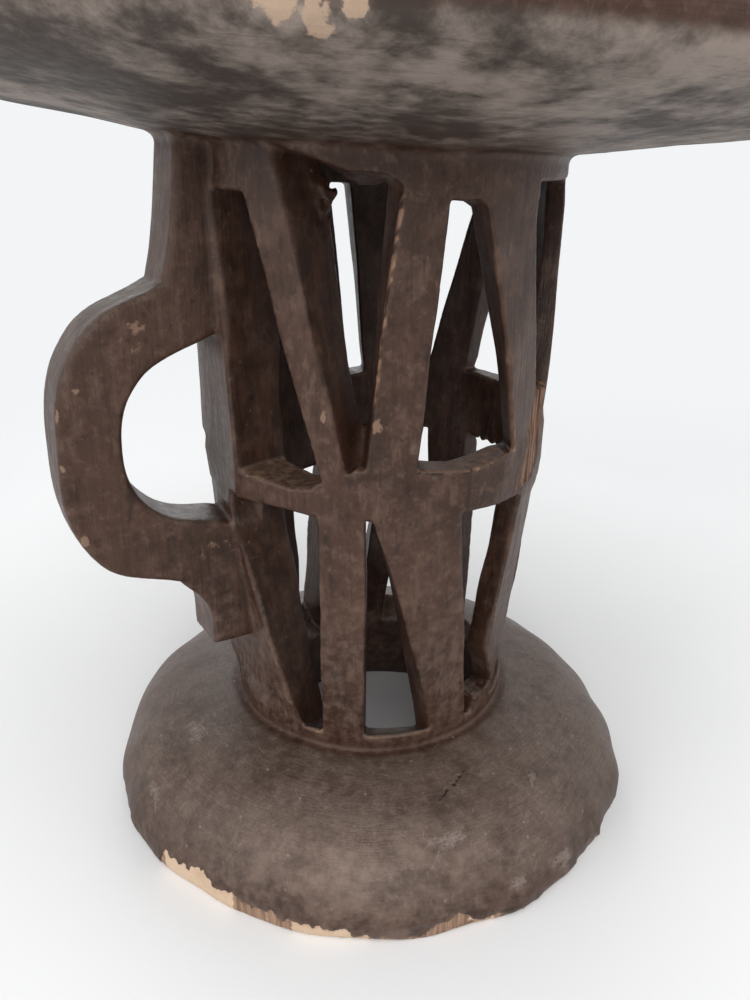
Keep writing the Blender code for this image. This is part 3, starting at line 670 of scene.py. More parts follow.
def mesh_field():
    """Vertices, whether each is on the surface, quads, and the labels on the two sides of each quad."""
    lines = (grid_line(-GRID_SIDE, GRID_SIDE, *FINE_X), grid_line(-GRID_SIDE, GRID_SIDE, *FINE_Y),
             grid_line(GRID_LOW, GRID_TOP, *FINE_Z))
    stride = np.asarray((1, len(lines[0]) + 1, (len(lines[0]) + 1) * (len(lines[1]) + 1)))
    local = np.asarray(list(np.ndindex(BLOCK + 1, BLOCK + 1, BLOCK + 1)))
    keys, places, outers, quads, sides = [], [], [], [], []
    blocks = active_blocks(lines)
    for start in range(0, len(blocks), BATCH):
        first = blocks[start:start + BATCH] * BLOCK
        index = first[:, None, :] + local[None]
        values, labels = field(on_grid(lines, index).reshape(-1, 3), True)
        shape = (len(first), BLOCK + 1, BLOCK + 1, BLOCK + 1)
        values, labels = values.reshape(shape), labels.reshape(shape)
        take = [(slice(None), *(slice(c, BLOCK + c) for c in corner)) for corner in CORNERS]
        corner_labels = np.stack([labels[t] for t in take], -1)
        found = corner_labels.min(axis=-1) != corner_labels.max(axis=-1)
        where = np.argwhere(found)
        cell = first[where[:, 0]] + where[:, 1:]
        corner_values = np.stack([values[t][found] for t in take], -1)
        place, outer = cell_vertices(corner_values, corner_labels[found])
        keys.append((cell * stride).sum(axis=1))
        places.append(mix(on_grid(lines, cell), on_grid(lines, cell + 1), place))
        outers.append(outer)
        own = labels[:, :BLOCK, :BLOCK, :BLOCK]
        for axis in range(3):
            ahead = [slice(None), slice(0, BLOCK), slice(0, BLOCK), slice(0, BLOCK)]
            ahead[axis + 1] = slice(1, BLOCK + 1)
            beyond = labels[tuple(ahead)]
            where = np.argwhere(own != beyond)
            sample = ((first[where[:, 0]] + where[:, 1:]) * stride).sum(axis=1)
            right, up = stride[(axis + 1) % 3], stride[(axis + 2) % 3]
            quads.append(np.stack((sample - right - up, sample - up, sample, sample - right), -1))
            sides.append(np.stack((own[own != beyond], beyond[own != beyond]), -1))
    keys, places, outers = np.concatenate(keys), np.concatenate(places), np.concatenate(outers)
    quads, sides = np.concatenate(quads), np.concatenate(sides)
    order = np.argsort(keys)
    keys, places, outers = keys[order], places[order], outers[order]
    quads = np.searchsorted(keys, quads)
    return places, outers, quads, sides


def neighbours(quads):
    """Each edge of the quads once, as pairs of vertices."""
    edges = np.concatenate([quads[:, [a, (a + 1) % 4]] for a in range(4)])
    edges.sort(axis=1)
    return np.unique(edges, axis=0)


def relax(places, edges, moving, amount):
    """Move vertices towards the mean of their neighbours along the given edges."""
    total = np.zeros_like(places)
    count = np.zeros(len(places))
    for a, b in ((0, 1), (1, 0)):
        count += np.bincount(edges[:, a], minlength=len(places))
        for axis in range(3):
            total[:, axis] += np.bincount(edges[:, a], places[edges[:, b], axis], len(places))
    use = moving & (count > 0)
    places[use] += amount * (total[use] / count[use, None] - places[use])


def gradient(points, step=0.0004):
    slope = np.empty_like(points)
    for axis in range(3):
        shift = np.zeros(3)
        shift[axis] = step
        slope[:, axis] = in_parts(field, points + shift) - in_parts(field, points - shift)
    length = np.linalg.norm(slope, axis=1, keepdims=True)
    return slope / np.maximum(length, 1e-9)


def onto_surface(points):
    move = np.clip(in_parts(field, points), -FINE, FINE)
    return points - gradient(points) * move[:, None]


def surface_normals(places, quads):
    a, b, c, d = (places[quads[:, corner]] for corner in range(4))
    face = np.cross(c - a, d - b)
    total = np.zeros_like(places)
    for corner in range(4):
        for axis in range(3):
            total[:, axis] += np.bincount(quads[:, corner], face[:, axis], len(places))
    return total / np.maximum(np.linalg.norm(total, axis=1, keepdims=True), 1e-12)


def carve_marks(places):
    """Height of the tool marks: long shallow gouges on the column, wide soft ones on seat and base."""
    radius = np.hypot(places[:, 0], places[:, 1])
    column = ramp(places[:, 2], 0.046, 0.056) * ramp(places[:, 2], 0.300, 0.290)
    column *= ramp(radius, 0.150, 0.140)
    long_cuts = scallops(places, (0.011, 0.011, 0.030), 41) - 0.35
    wide_cuts = scallops(places, (0.020, 0.020, 0.020), 47) - 0.35
    fine = waves(places * (1, 1, 0.25), 0.0045, 8, 53)
    return column * (0.00022 * long_cuts + 0.00003 * fine) + (1.0 - column) * 0.00012 * wide_cuts


def build_surface():
    places, outer, quads, sides = mesh_field()
    surface = (sides == 0).any(axis=1)
    flipped = sides[:, 0] == 0
    skin = np.where(flipped[:, None], quads[:, ::-1], quads)[surface]
    owner = sides.max(axis=1)[surface]
    edges = neighbours(skin)
    first = np.full(len(places), 99, np.int16)
    last = np.zeros(len(places), np.int16)
    for corner in range(4):
        np.minimum.at(first, skin[:, corner], owner)
        np.maximum.at(last, skin[:, corner], owner)
    seam = outer & (first != last)
    open_edges = edges[~seam[edges].any(axis=1) | ~seam[edges].all(axis=1)]
    seam_edges = edges[seam[edges].all(axis=1)]
    for _ in range(3):
        relax(places, open_edges, outer & ~seam, 0.5)
        relax(places, seam_edges, seam, 0.5)
        places[outer] = onto_surface(places[outer])
    places[outer] = onto_surface(places[outer])
    inner_edges = neighbours(quads[~surface])
    for _ in range(12):
        relax(places, inner_edges, ~outer, 0.6)
    inner = np.flatnonzero(~outer)
    for _ in range(2):
        rise = in_parts(field, places[inner]) + BORDER_DEPTH
        inner, rise = inner[rise > 0.0], rise[rise > 0.0]
        places[inner] -= gradient(places[inner]) * rise[:, None]
    normals = surface_normals(places, skin)
    marks = np.where(outer, carve_marks(places), 0.0)
    places = places + normals * marks[:, None]
    places[:, 2] = np.maximum(places[:, 2], 0.0)
    normals = surface_normals(places, skin)
    return places, outer, quads, sides, normals


# Soft spots as (bearing, height, half sizes): scars on the column, and the front window's torn corner
SCARS = ((61.2, 0.1964, 2.0, 0.0032), (60.8, 0.2129, 1.1, 0.0017), (46.0, 0.1981, 1.0, 0.0024))
RAGGED_SPOT = ((RAGGED_BEARING, RAGGED_HEIGHT, 10.0, 0.014),)

# Soft spots as (bearing, radius, half sizes): the base's rubbed shoulder, lightened partly as a painted highlight,
# whitish smudges on the base, and worn patches under the seat
SHOULDER = ((58.0, 0.1150, 26.0, 0.011),)
CHALK = ((126.0, 0.1053, 1.5, 0.0034), (104.6, 0.1020, 2.4, 0.0026), (101.6, 0.1255, 3.5, 0.0016),
         (89.6, 0.1256, 2.2, 0.0014), (77.5, 0.1105, 4.5, 0.0030), (2.3, 0.0939, 6.0, 0.0050),
         (7.3, 0.1186, 2.6, 0.0022))
PATCHES = ((54.2, 0.1865, 1.7, 0.0040), (56.4, 0.1835, 1.0, 0.0050), (58.6, 0.1860, 0.9, 0.0030))

# A strut whose left arris carries a painted highlight line over rubbed wood
SHINY_STRUT, SHINE_WIDTH = "upper_strut_2", 0.0013

# Fine dark lines: upright cracks in the middle ring by bearing, a painted shadow line just under its sill edge
# between two bearings, and a crack on the base between two places given by bearing and radius
CRACK_BEARINGS, DARK_LINE_WIDTH = (89.2, 102.2), 0.00045
SILL_SHADOW_BEARINGS, SILL_SHADOW_DROP = (72.5, 89.2), 0.0012
BASE_CRACK = ((77.2, 0.0964), (88.9, 0.0863))

# Worn places on the handle's near face as (distance out, height, half sizes, strength)
HANDLE_MARKS = ((0.1068, 0.2260, 0.0085, 0.0085, 0.46), (0.1294, 0.2071, 0.0020, 0.0010, 0.80),
                (0.1326, 0.1494, 0.0018, 0.0034, 0.95), (0.1368, 0.1992, 0.0012, 0.0030, 0.80),
                (0.1373, 0.1791, 0.0012, 0.0026, 0.75), (0.0830, 0.1365, 0.0120, 0.0042, 0.44))


def spots(marks, bearing, level):
    """1 in the middle of soft spots, falling to 0 away from them."""
    total = np.zeros(len(bearing))
    for centre, middle, half, tall in marks:
        away = (turn_between(bearing, centre) / half) ** 2 + ((level - middle) / tall) ** 2
        total = np.maximum(total, np.exp(-away))
    return total


def wear_shade_and_shine_values(places, normals):
    """How exposed each point of the surface is, how deep in a corner, where it is worn, marked or bare, and where
    painted shade and painted highlights go.
    """
    values = {}
    points = places.astype(np.float32)
    # Rub: how convex the surface is. The material lightens these edges, partly as worn wood, partly as a painted
    # highlight.
    depth = 0.0018
    inward = in_parts(field, places - normals * depth)
    rub_and_shine = np.clip((inward + depth) / depth, 0.0, 1.0)
    # Cover: how closely the surface round a point is hemmed in. As the cavity value it lays painted shade into
    # corners and creases, and keeps dust off them.
    cover = np.zeros(len(places))
    for reach in (0.003, 0.008, 0.018):
        cover += np.clip((reach - in_parts(field, places + normals * reach)) / reach, 0.0, 1.0) / 3.0
    radius = np.hypot(places[:, 0], places[:, 1])
    # The crease round the column's foot is given a set cavity, for a band of painted shade on the base beside the
    # column.
    in_crease = ramp(radius, 0.0640, 0.0652) * ramp(radius, 0.0715, 0.0690)
    in_crease = in_crease * ramp(places[:, 2], 0.0430, 0.0438) * ramp(places[:, 2], 0.0490, 0.0465)
    values["cavity"] = np.maximum(cover, 0.55 * in_crease)
    bearing = np.degrees(np.arctan2(-places[:, 1], -places[:, 0]))
    flaked = flaked_height(bearing, points)
    height = places[:, 2]
    low, high = ring_top_level(bearing), collar_bottom_level(bearing)
    share = (height - low) / (high - low)
    # A painted highlight line along the left arris of SHINY_STRUT, fading in and flickering along it.
    foot, head = UPPER_STRUTS[SHINY_STRUT]
    swing = waves(points, 0.080, 7, 5) * EDGE_WOBBLE
    arris = (bearing + swing - mix(foot[0], head[0], share)) * DEGREE * radius / SHINE_WIDTH
    shine = np.exp(-arris ** 2) * (radius > column_radius(height) - 0.003) * ramp(share, 0.10, 0.35)
    flicker = np.clip(0.86 + 0.42 * waves(points, 0.0050, 6, 83), 0.30, 1.0)
    shine = shine * ramp(share, 1.06, 0.98) * flicker * mix(0.75, 1.15, np.clip(share, 0.0, 1.0))
    on_base = height < BASE_TOP
    # The base's shoulder, lightened in the material as rubbed wood and as a painted highlight.
    values["polish_and_highlight"] = np.where(on_base, spots(SHOULDER, bearing, radius), 0.0)
    outward = (normals[:, 0] * places[:, 0] + normals[:, 1] * places[:, 1]) / radius
    in_column = ramp(height, 0.047, 0.054) * ramp(height, 0.292, 0.284) * ramp(
        radius, column_radius(height) + 0.008, column_radius(height) + 0.002)
    # Cut: the column's faces that turn away from outward, such as the windows' sides, which take painted shade.
    values["cut"] = in_column * ramp(outward, 0.80, 0.30)
    in_groove = (share > -0.1) & (share < WEB_HEAD) & (arris < -1.0) & (bearing > 40.0)
    ragged = spots(RAGGED_SPOT, bearing, height)
    rub_and_shine = rub_and_shine * np.where(radius < column_radius(height) - 0.003, 1.0 - ragged, 1.0)
    values["rub_and_shine"] = np.where(in_groove & (radius < column_radius(height) - 0.002), 0.0, np.maximum(rub_and_shine, shine))
    values["sat"] = np.where(height > SEAT_HEIGHT, ramp(normals[:, 2], 0.2, 0.8) * ramp(radius, 0.176, 0.150), 0.0)
    rim = (flaked > 0.0004) & (radius > 0.115) & (height < 0.03)
    values["bare"] = np.where(rim, ramp(flaked - height, -0.0006, 0.0005), 0.0)
    values["pale"] = np.interp(bearing % 360.0, PALE_BEARINGS, PALE_SHARES)
    on_face = radius > column_radius(height) - 0.004
    values["split"] = np.where(on_face, split_share(bearing, height), 0.0)
    cracks_and_shadow_line = np.zeros(len(places))
    on_ring = on_face & (height > ring_bottom_level(bearing)) & (share < 0.08)
    for centre in CRACK_BEARINGS:
        off = (turn_between(bearing, centre) + 0.5 * swing) * DEGREE * radius / DARK_LINE_WIDTH
        cracks_and_shadow_line = np.maximum(cracks_and_shadow_line, np.where(on_ring, np.exp(-off ** 2), 0.0))
    # A painted shadow line just under the front window's sill edge, kept with the cracks.
    sill = low + level_lift(bearing, FOOT_BEARINGS, FOOT_LIFTS) - SILL_SHADOW_DROP
    along = (bearing > SILL_SHADOW_BEARINGS[0]) & (bearing < SILL_SHADOW_BEARINGS[1]) & on_face
    cracks_and_shadow_line = np.maximum(cracks_and_shadow_line, np.where(along, np.exp(-((height - sill) / DARK_LINE_WIDTH) ** 2), 0.0))
    (start, inner), (end, outer) = BASE_CRACK
    across = (end - start) * DEGREE * inner
    along = turn_between(bearing, start) * DEGREE * inner
    run = along * across + (radius - inner) * (outer - inner)
    run = np.clip(run / (across ** 2 + (outer - inner) ** 2), 0.0, 1.0)
    off = np.hypot(along - run * across, radius - inner - run * (outer - inner))
    off = off + 0.0003 * waves(points, 0.0040, 6, 89)
    values["cracks_and_shadow_line"] = np.maximum(cracks_and_shadow_line, np.where(on_base, np.exp(-(off / DARK_LINE_WIDTH) ** 2), 0.0))
    values["chalk"] = np.where(on_base, spots(CHALK, bearing, radius), 0.0)
    scar = np.where(on_face, spots(SCARS, bearing, height), 0.0)
    under_seat = (height > SEAT_HEIGHT) & (normals[:, 2] < 0.2)
    scar = np.maximum(scar, np.where(under_seat, spots(PATCHES, bearing, radius), 0.0))
    on_handle = (places[:, 0] < -0.068) & (normals[:, 1] < -0.3)
    for out, level, half, tall, strength in HANDLE_MARKS:
        away = ((-places[:, 0] - out) / half) ** 2 + ((height - level) / tall) ** 2
        scar = np.maximum(scar, np.where(on_handle, strength * np.exp(-away), 0.0))
    values["scar"] = scar
    return values


def make_pieces(material):
    places, outer, quads, sides, normals = build_surface()
    outer_index = np.flatnonzero(outer)
    values = wear_shade_and_shine_values(places[outer_index], normals[outer_index])
    pieces = {}
    for name, label in LABEL.items():
        forward = quads[sides[:, 0] == label]
        backward = quads[sides[:, 1] == label][:, ::-1]
        own = np.concatenate((forward, backward))
        used, compact = np.unique(own, return_inverse=True)
        compact = compact.reshape(-1, 4)
        mesh = bpy.data.meshes.new(name + "_wood")
        mesh.from_pydata(places[used].tolist(), [], compact.tolist())
        mesh.shade_smooth()
        facing = surface_normals(places[used], compact)
        facing[outer[used]] = normals[used][outer[used]]
        mesh.normals_split_custom_set_from_vertices(facing.tolist())
        for key, data in values.items():
            spread = np.zeros(len(places))
            spread[outer_index] = data
            attribute = mesh.attributes.new(key, "FLOAT", "POINT")
            attribute.data.foreach_set("value", spread[used].astype(np.float32))
        mesh.materials.append(material)
        piece = bpy.data.objects.new(name + "_wood", mesh)
        bpy.context.scene.collection.objects.link(piece)
        pieces[name] = piece
    return pieces


# Materials

BACKGROUND, BACKGROUND_STRENGTH, WORLD_STRENGTH = (0.97, 0.985, 1.0), 0.92, 0.46


class Graph:
    """A short way to write a material's nodes."""

    def __init__(self, name):
        self.material = bpy.data.materials.new(name)
        self.material.use_nodes = True
        self.tree = self.material.node_tree
        self.shader = self.tree.nodes["Principled BSDF"]

    def put(self, socket, value):
        if isinstance(value, bpy.types.NodeSocket):
            self.tree.links.new(value, socket)
        else:
            socket.default_value = value

    def add(self, kind, inputs=(), output=0, **settings):
        node = self.tree.nodes.new(kind)
        for key, value in settings.items():
            setattr(node, key, value)
        for key, value in dict(inputs).items():
            self.put(node.inputs[key], value)
        return node.outputs[output]

    def noise(self, vector, scale, detail=3.0, roughness=0.55, distortion=0.0):
        return self.add("ShaderNodeTexNoise", {"Vector": vector, "Scale": scale, "Detail": detail,
                                               "Roughness": roughness, "Distortion": distortion})

    def scaled(self, vector, scale):
        return self.add("ShaderNodeMapping", {"Vector": vector, "Scale": scale})

    def band(self, value, low, high):
        return self.add("ShaderNodeMapRange", {"Value": value, "From Min": low, "From Max": high},
                        interpolation_type="SMOOTHSTEP")

    def math(self, operation, first, second=0.0):
        return self.add("ShaderNodeMath", {0: first, 1: second}, operation=operation)

    def times(self, first, second):
        return self.math("MULTIPLY", first, second)

    def plus(self, first, second):
        return self.math("ADD", first, second)

    def minus(self, first, second):
        return self.math("SUBTRACT", first, second)

    def blend(self, share, first, second):
        node = self.tree.nodes.new("ShaderNodeMix")
        node.data_type = "RGBA"
        self.put(node.inputs["Factor"], share)
        self.put(node.inputs["A"], first if isinstance(first, bpy.types.NodeSocket) else (*first, 1.0))
        self.put(node.inputs["B"], second if isinstance(second, bpy.types.NodeSocket) else (*second, 1.0))
        return node.outputs["Result"]

    def coat(self, under, value, low, high, strength, colour):
        """A colour laid over another where a value lies between two limits."""
        return self.blend(self.times(self.band(value, low, high), strength), under, colour)

    def between(self, share, first, second):
        return self.add("ShaderNodeMix", {"Factor": share, "A": first, "B": second})

    def around(self, vector, size):
        """Coordinates that change slowly round the stool's axis and fast along its outline."""
        flat = self.add("ShaderNodeVectorMath", {0: vector, 1: (1.0, 1.0, 0.0)}, operation="MULTIPLY")
        radius = self.add("ShaderNodeVectorMath", {0: flat}, 1, operation="LENGTH")
        turn = self.add("ShaderNodeVectorMath", {0: flat}, operation="NORMALIZE")
        turn = self.add("ShaderNodeVectorMath", {0: turn, "Scale": size}, operation="SCALE")
        rise = self.add("ShaderNodeSeparateXYZ", {0: vector}, 2)
        along = self.add("ShaderNodeCombineXYZ", {2: self.minus(radius, rise)})
        return self.add("ShaderNodeVectorMath", {0: turn, 1: along}, operation="ADD")

    def strokes(self, vector, scale, width, rarity):
        """Short thin lines in all directions, one at most in each irregular cell."""
        centre = self.add("ShaderNodeTexVoronoi", {"Vector": vector, "Scale": scale}, 2)
        local = self.add("ShaderNodeVectorMath", {0: vector, 1: centre}, operation="SUBTRACT")
        chance = self.add("ShaderNodeTexWhiteNoise", {"Vector": centre})
        across = self.add("ShaderNodeTexWhiteNoise", {"Vector": centre}, 1)
        across = self.add("ShaderNodeVectorMath", {0: across, 1: (0.5, 0.5, 0.5)}, operation="SUBTRACT")
        across = self.add("ShaderNodeVectorMath", {0: across}, operation="NORMALIZE")
        off = self.math("ABSOLUTE", self.add("ShaderNodeVectorMath", {0: local, 1: across}, 1,
                                             operation="DOT_PRODUCT"))
        away = self.add("ShaderNodeVectorMath", {0: local}, 1, operation="LENGTH")
        line = self.times(self.band(off, width, width * 0.3), self.band(away, 0.48 / scale, 0.20 / scale))
        return self.times(line, self.band(chance, rarity, rarity + 0.25))

    def dots(self, vector, scale, rarity):
        """Small specks, in a few cells only."""
        near = self.add("ShaderNodeTexVoronoi", {"Vector": vector, "Scale": scale})
        centre = self.add("ShaderNodeTexVoronoi", {"Vector": vector, "Scale": scale}, 2)
        chance = self.add("ShaderNodeTexWhiteNoise", {"Vector": centre})
        return self.times(self.band(near, 0.26, 0.10), self.band(chance, rarity, rarity + 0.10))

    def attribute(self, name):
        return self.add("ShaderNodeAttribute", output=2, attribute_name=name)


def column_foot(g, place):
    """1 near the crease where the column stands on the base, by the distance from the axis."""
    flat = g.add("ShaderNodeVectorMath", {0: place, 1: (1.0, 1.0, 0.0)}, operation="MULTIPLY")
    radius = g.add("ShaderNodeVectorMath", {0: flat}, 1, operation="LENGTH")
    return g.times(g.band(radius, 0.0640, 0.0652), g.band(radius, 0.0710, 0.0690))


def wood_material():
    g = Graph("smoked_carved_wood")
    place = g.add("ShaderNodeTexCoord", output=3)
    names = ("rub_and_shine", "cavity", "bare", "pale", "split", "scar", "cracks_and_shadow_line", "cut", "polish_and_highlight", "chalk", "sat")
    rub_and_shine, cavity, bare, pale, split, scar, cracks_and_shadow_line, cut, polish_and_highlight, chalk, sat = (g.attribute(name) for name in names)
    facing = g.add("ShaderNodeSeparateXYZ", {0: g.add("ShaderNodeNewGeometry", output=1)}, output=2)
    height = g.add("ShaderNodeSeparateXYZ", {0: place}, output=2)
    clouds = g.noise(place, 16.0, 4.0)
    mottle = g.noise(place, 75.0, 7.0, 0.68)
    blotch = g.noise(place, 230.0, 5.0, 0.62)
    smear = g.noise(g.scaled(place, (1.0, 1.0, 0.30)), 170.0, 5.0, 0.65)
    upright = g.noise(g.scaled(place, (1.0, 1.0, 0.05)), 560.0, 4.0, 0.6, 0.4)
    turned = g.noise(g.around(place, 0.011), 820.0, 4.0, 0.6, 1.4)
    fine = g.noise(place, 1000.0, 2.0)
    loose, speck = g.minus(mottle, 0.5), g.minus(blotch, 0.5)
    column = g.times(g.band(height, 0.046, 0.058), g.band(height, 0.296, 0.284))
    grain = g.between(column, turned, upright)

    patina = g.blend(g.band(clouds, 0.36, 0.66), (0.034, 0.0155, 0.0095), (0.058, 0.0290, 0.0185))
    patina = g.coat(patina, mottle, 0.46, 0.70, 0.70, (0.098, 0.056, 0.040))
    patina = g.coat(patina, smear, 0.54, 0.72, 0.55, (0.112, 0.068, 0.050))
    patina = g.coat(patina, smear, 0.46, 0.28, 0.70, (0.017, 0.0084, 0.0054))
    patina = g.coat(patina, blotch, 0.53, 0.70, 0.45, (0.120, 0.074, 0.056))
    patina = g.coat(patina, blotch, 0.46, 0.30, 0.55, (0.018, 0.0090, 0.0058))
    low_dust = g.times(g.band(height, 0.170, 0.050), g.band(blotch, 0.40, 0.62))
    patina = g.blend(g.times(low_dust, 0.28), patina, (0.130, 0.094, 0.076))
    patina = g.coat(patina, grain, 0.52, 0.78, 0.45, (0.014, 0.0072, 0.0048))

    # Painted shade: the column's side faces, which turn away from outward, are darkened almost to black.
    side_face_shade = g.times(cut, g.between(g.band(mottle, 0.62, 0.38), 0.45, 0.80))
    side_shade_colour = g.blend(g.band(smear, 0.40, 0.64), (0.0155, 0.0064, 0.0038), (0.042, 0.0170, 0.0098))
    patina = g.blend(side_face_shade, patina, side_shade_colour)
    # Painted shade with some grime: corners, creases and recesses darkened to a deep reddish brown by the cavity.
    corner = g.times(g.band(cavity, 0.25, 0.70), g.band(mottle, 0.30, 0.62))
    patina = g.blend(g.times(corner, 0.70), patina, (0.044, 0.0175, 0.0105))
    film = g.plus(0.55, g.times(g.band(g.plus(clouds, loose), 0.36, 0.70), 0.45))
    dust = g.times(g.times(g.band(facing, 0.15, 0.85), film), g.band(cavity, 0.62, 0.30))
    dust = g.times(dust, g.minus(1.0, g.times(sat, 0.62)))
    dusty = g.blend(g.band(grain, 0.36, 0.66), (0.148, 0.110, 0.090), (0.108, 0.077, 0.062))
    dusty = g.coat(dusty, mottle, 0.50, 0.34, 0.5, (0.070, 0.048, 0.038))
    dusty = g.coat(dusty, blotch, 0.52, 0.70, 0.6, (0.200, 0.156, 0.130))
    dusty = g.coat(dusty, fine, 0.54, 0.72, 0.5, (0.215, 0.170, 0.142))
    dusty = g.coat(dusty, fine, 0.46, 0.28, 0.5, (0.062, 0.042, 0.033))
    patina = g.blend(g.times(dust, 0.80), patina, dusty)
    ledge = g.times(g.times(g.band(facing, 0.45, 0.85), g.band(cavity, 0.60, 0.40)),
                    g.times(g.band(height, 0.150, 0.160), g.band(height, 0.215, 0.205)))
    fluff = g.blend(g.band(blotch, 0.38, 0.64), (0.072, 0.038, 0.025), (0.175, 0.108, 0.074))
    patina = g.blend(g.times(ledge, 0.85), patina, fluff)
    # The seat's underside, grey and lighter: partly greyish dust, partly painted bounce light and sheen.
    under = g.times(g.band(height, 0.284, 0.294), g.band(facing, -0.30, -0.75))
    underside_dust_and_sheen = g.blend(g.band(g.plus(clouds, g.times(loose, 0.8)), 0.34, 0.66), (0.044, 0.032, 0.026),
                    (0.240, 0.196, 0.168))
    underside_dust_and_sheen = g.coat(underside_dust_and_sheen, grain, 0.50, 0.74, 0.40, (0.050, 0.037, 0.030))
    patina = g.blend(g.times(under, g.band(cavity, 0.50, 0.10)), patina, underside_dust_and_sheen)
    crease = g.times(g.band(height, 0.0438, 0.0450), g.band(height, 0.0472, 0.0458))
    patina = g.blend(g.times(g.times(crease, column_foot(g, place)), g.times(g.band(clouds, 0.42, 0.60), 0.28)),
                     patina, (0.150, 0.102, 0.077))

    bend = g.add("ShaderNodeTexNoise", {"Vector": place, "Scale": 70.0}, 1)
    bend = g.add("ShaderNodeVectorMath", {0: bend, "Scale": 0.0025}, operation="SCALE")
    bent = g.add("ShaderNodeVectorMath", {0: place, 1: bend}, operation="ADD")
    scratch = g.math("MAXIMUM", g.strokes(bent, 75.0, 0.00022, 0.45), g.strokes(bent, 150.0, 0.00017, 0.40))
    open_face = g.plus(g.times(g.band(facing, 0.10, 0.60), 0.75), 0.18)
    scratch = g.times(g.times(scratch, g.band(blotch, 0.34, 0.58)), open_face)
    patina = g.blend(g.times(scratch, 0.55), patina, (0.240, 0.190, 0.160))
    patina = g.blend(g.times(g.times(g.dots(place, 300.0, 0.88), open_face), 0.65), patina, (0.250, 0.200, 0.165))
    # Partly rubbed wood, partly a painted highlight: the base's shoulder lightened to a pinkish tan and made
    # glossier.
    shoulder = g.times(polish_and_highlight, g.between(g.band(g.plus(mottle, g.times(blotch, 0.5)), 0.56, 0.92), 0.25, 0.95))
    patina = g.blend(g.times(shoulder, 0.62), patina, (0.235, 0.165, 0.128))

    smudge = g.plus(g.times(speck, 1.6), g.times(g.minus(fine, 0.5), 1.4))
    smudge = g.times(g.band(g.plus(chalk, smudge), 0.40, 1.10), g.band(chalk, 0.05, 0.60))
    patina = g.blend(g.times(smudge, 0.45), patina, (0.270, 0.226, 0.197))

    # Worn wood and painted highlight: convex edges lightened to copper tones.
    wear_and_edge_shine = g.plus(rub_and_shine, loose)
    patina = g.coat(patina, wear_and_edge_shine, 0.30, 0.75, 0.42, (0.150, 0.088, 0.058))
    patina = g.coat(patina, wear_and_edge_shine, 0.66, 0.98, 0.70, (0.310, 0.184, 0.122))
    # Dark cracks, with the painted shadow line under the front window's sill edge.
    patina = g.blend(g.times(g.band(g.plus(cracks_and_shadow_line, g.times(loose, 0.8)), 0.40, 0.70), 0.85), patina,
                     (0.012, 0.0065, 0.0045))
    torn = g.band(g.plus(split, g.times(loose, 0.9)), 0.36, 0.56)
    fibres = g.blend(g.band(upright, 0.36, 0.60), (0.205, 0.122, 0.084), (0.058, 0.027, 0.017))
    patina = g.blend(g.times(torn, g.band(smear, 0.30, 0.46)), patina, fibres)
    rubbed = g.band(g.plus(scar, g.times(speck, 1.6)), 0.42, 0.62)
    marks = g.blend(g.band(height, 0.270, 0.290), (0.210, 0.130, 0.090), (0.450, 0.320, 0.225))
    patina = g.blend(g.times(rubbed, 0.75), patina, marks)
    open_wood = g.band(g.plus(bare, g.times(loose, 0.6)), 0.42, 0.58)
    share = g.plus(pale, g.times(speck, 1.1))
    tan = g.blend(g.band(upright, 0.36, 0.70), (0.310, 0.200, 0.135), (0.150, 0.086, 0.055))
    tan = g.blend(g.band(share, 0.30, 0.05), tan, (0.150, 0.108, 0.086))
    cream = g.blend(g.band(mottle, 0.35, 0.70), (0.560, 0.420, 0.305), (0.470, 0.325, 0.220))
    tan = g.blend(g.band(share, 0.50, 0.62), tan, cream)
    g.put(g.shader.inputs["Base Color"], g.blend(open_wood, patina, tan))

    gloss = g.add("ShaderNodeMapRange", {"Value": blotch, "From Min": 0.3, "From Max": 0.72,
                                         "To Min": 0.34, "To Max": 0.54})
    dull = g.plus(gloss, g.times(g.math("MAXIMUM", corner, under), 0.16))
    dull = g.minus(dull, g.plus(g.times(shoulder, 0.06), g.times(sat, 0.10)))
    dull = g.math("MAXIMUM", dull, g.times(g.math("MAXIMUM", open_wood, torn), 0.82))
    g.put(g.shader.inputs["Roughness"], dull)
    g.shader.inputs["Specular IOR Level"].default_value = 0.22

    relief = g.plus(g.times(grain, 0.60), g.times(fine, 0.16))
    relief = g.plus(relief, g.plus(g.times(mottle, 0.45), g.times(blotch, 0.45)))
    relief = g.minus(relief, g.times(scratch, 0.20))
    bump = g.add("ShaderNodeBump", {"Height": relief, "Strength": 0.55, "Distance": 0.0009})
    g.put(g.shader.inputs["Normal"], bump)
    return g.material


def seen_rays(tree):
    """1 for what the camera sees, straight or in gloss and glass, and 0 for the light on the object."""
    path = tree.nodes.new("ShaderNodeLightPath")
    seen = path.outputs["Is Camera Ray"]
    for ray in ("Is Glossy Ray", "Is Transmission Ray"):
        either = tree.nodes.new("ShaderNodeMath")
        either.operation = "MAXIMUM"
        tree.links.new(seen, either.inputs[0])
        tree.links.new(path.outputs[ray], either.inputs[1])
        seen = either.outputs[0]
    return seen


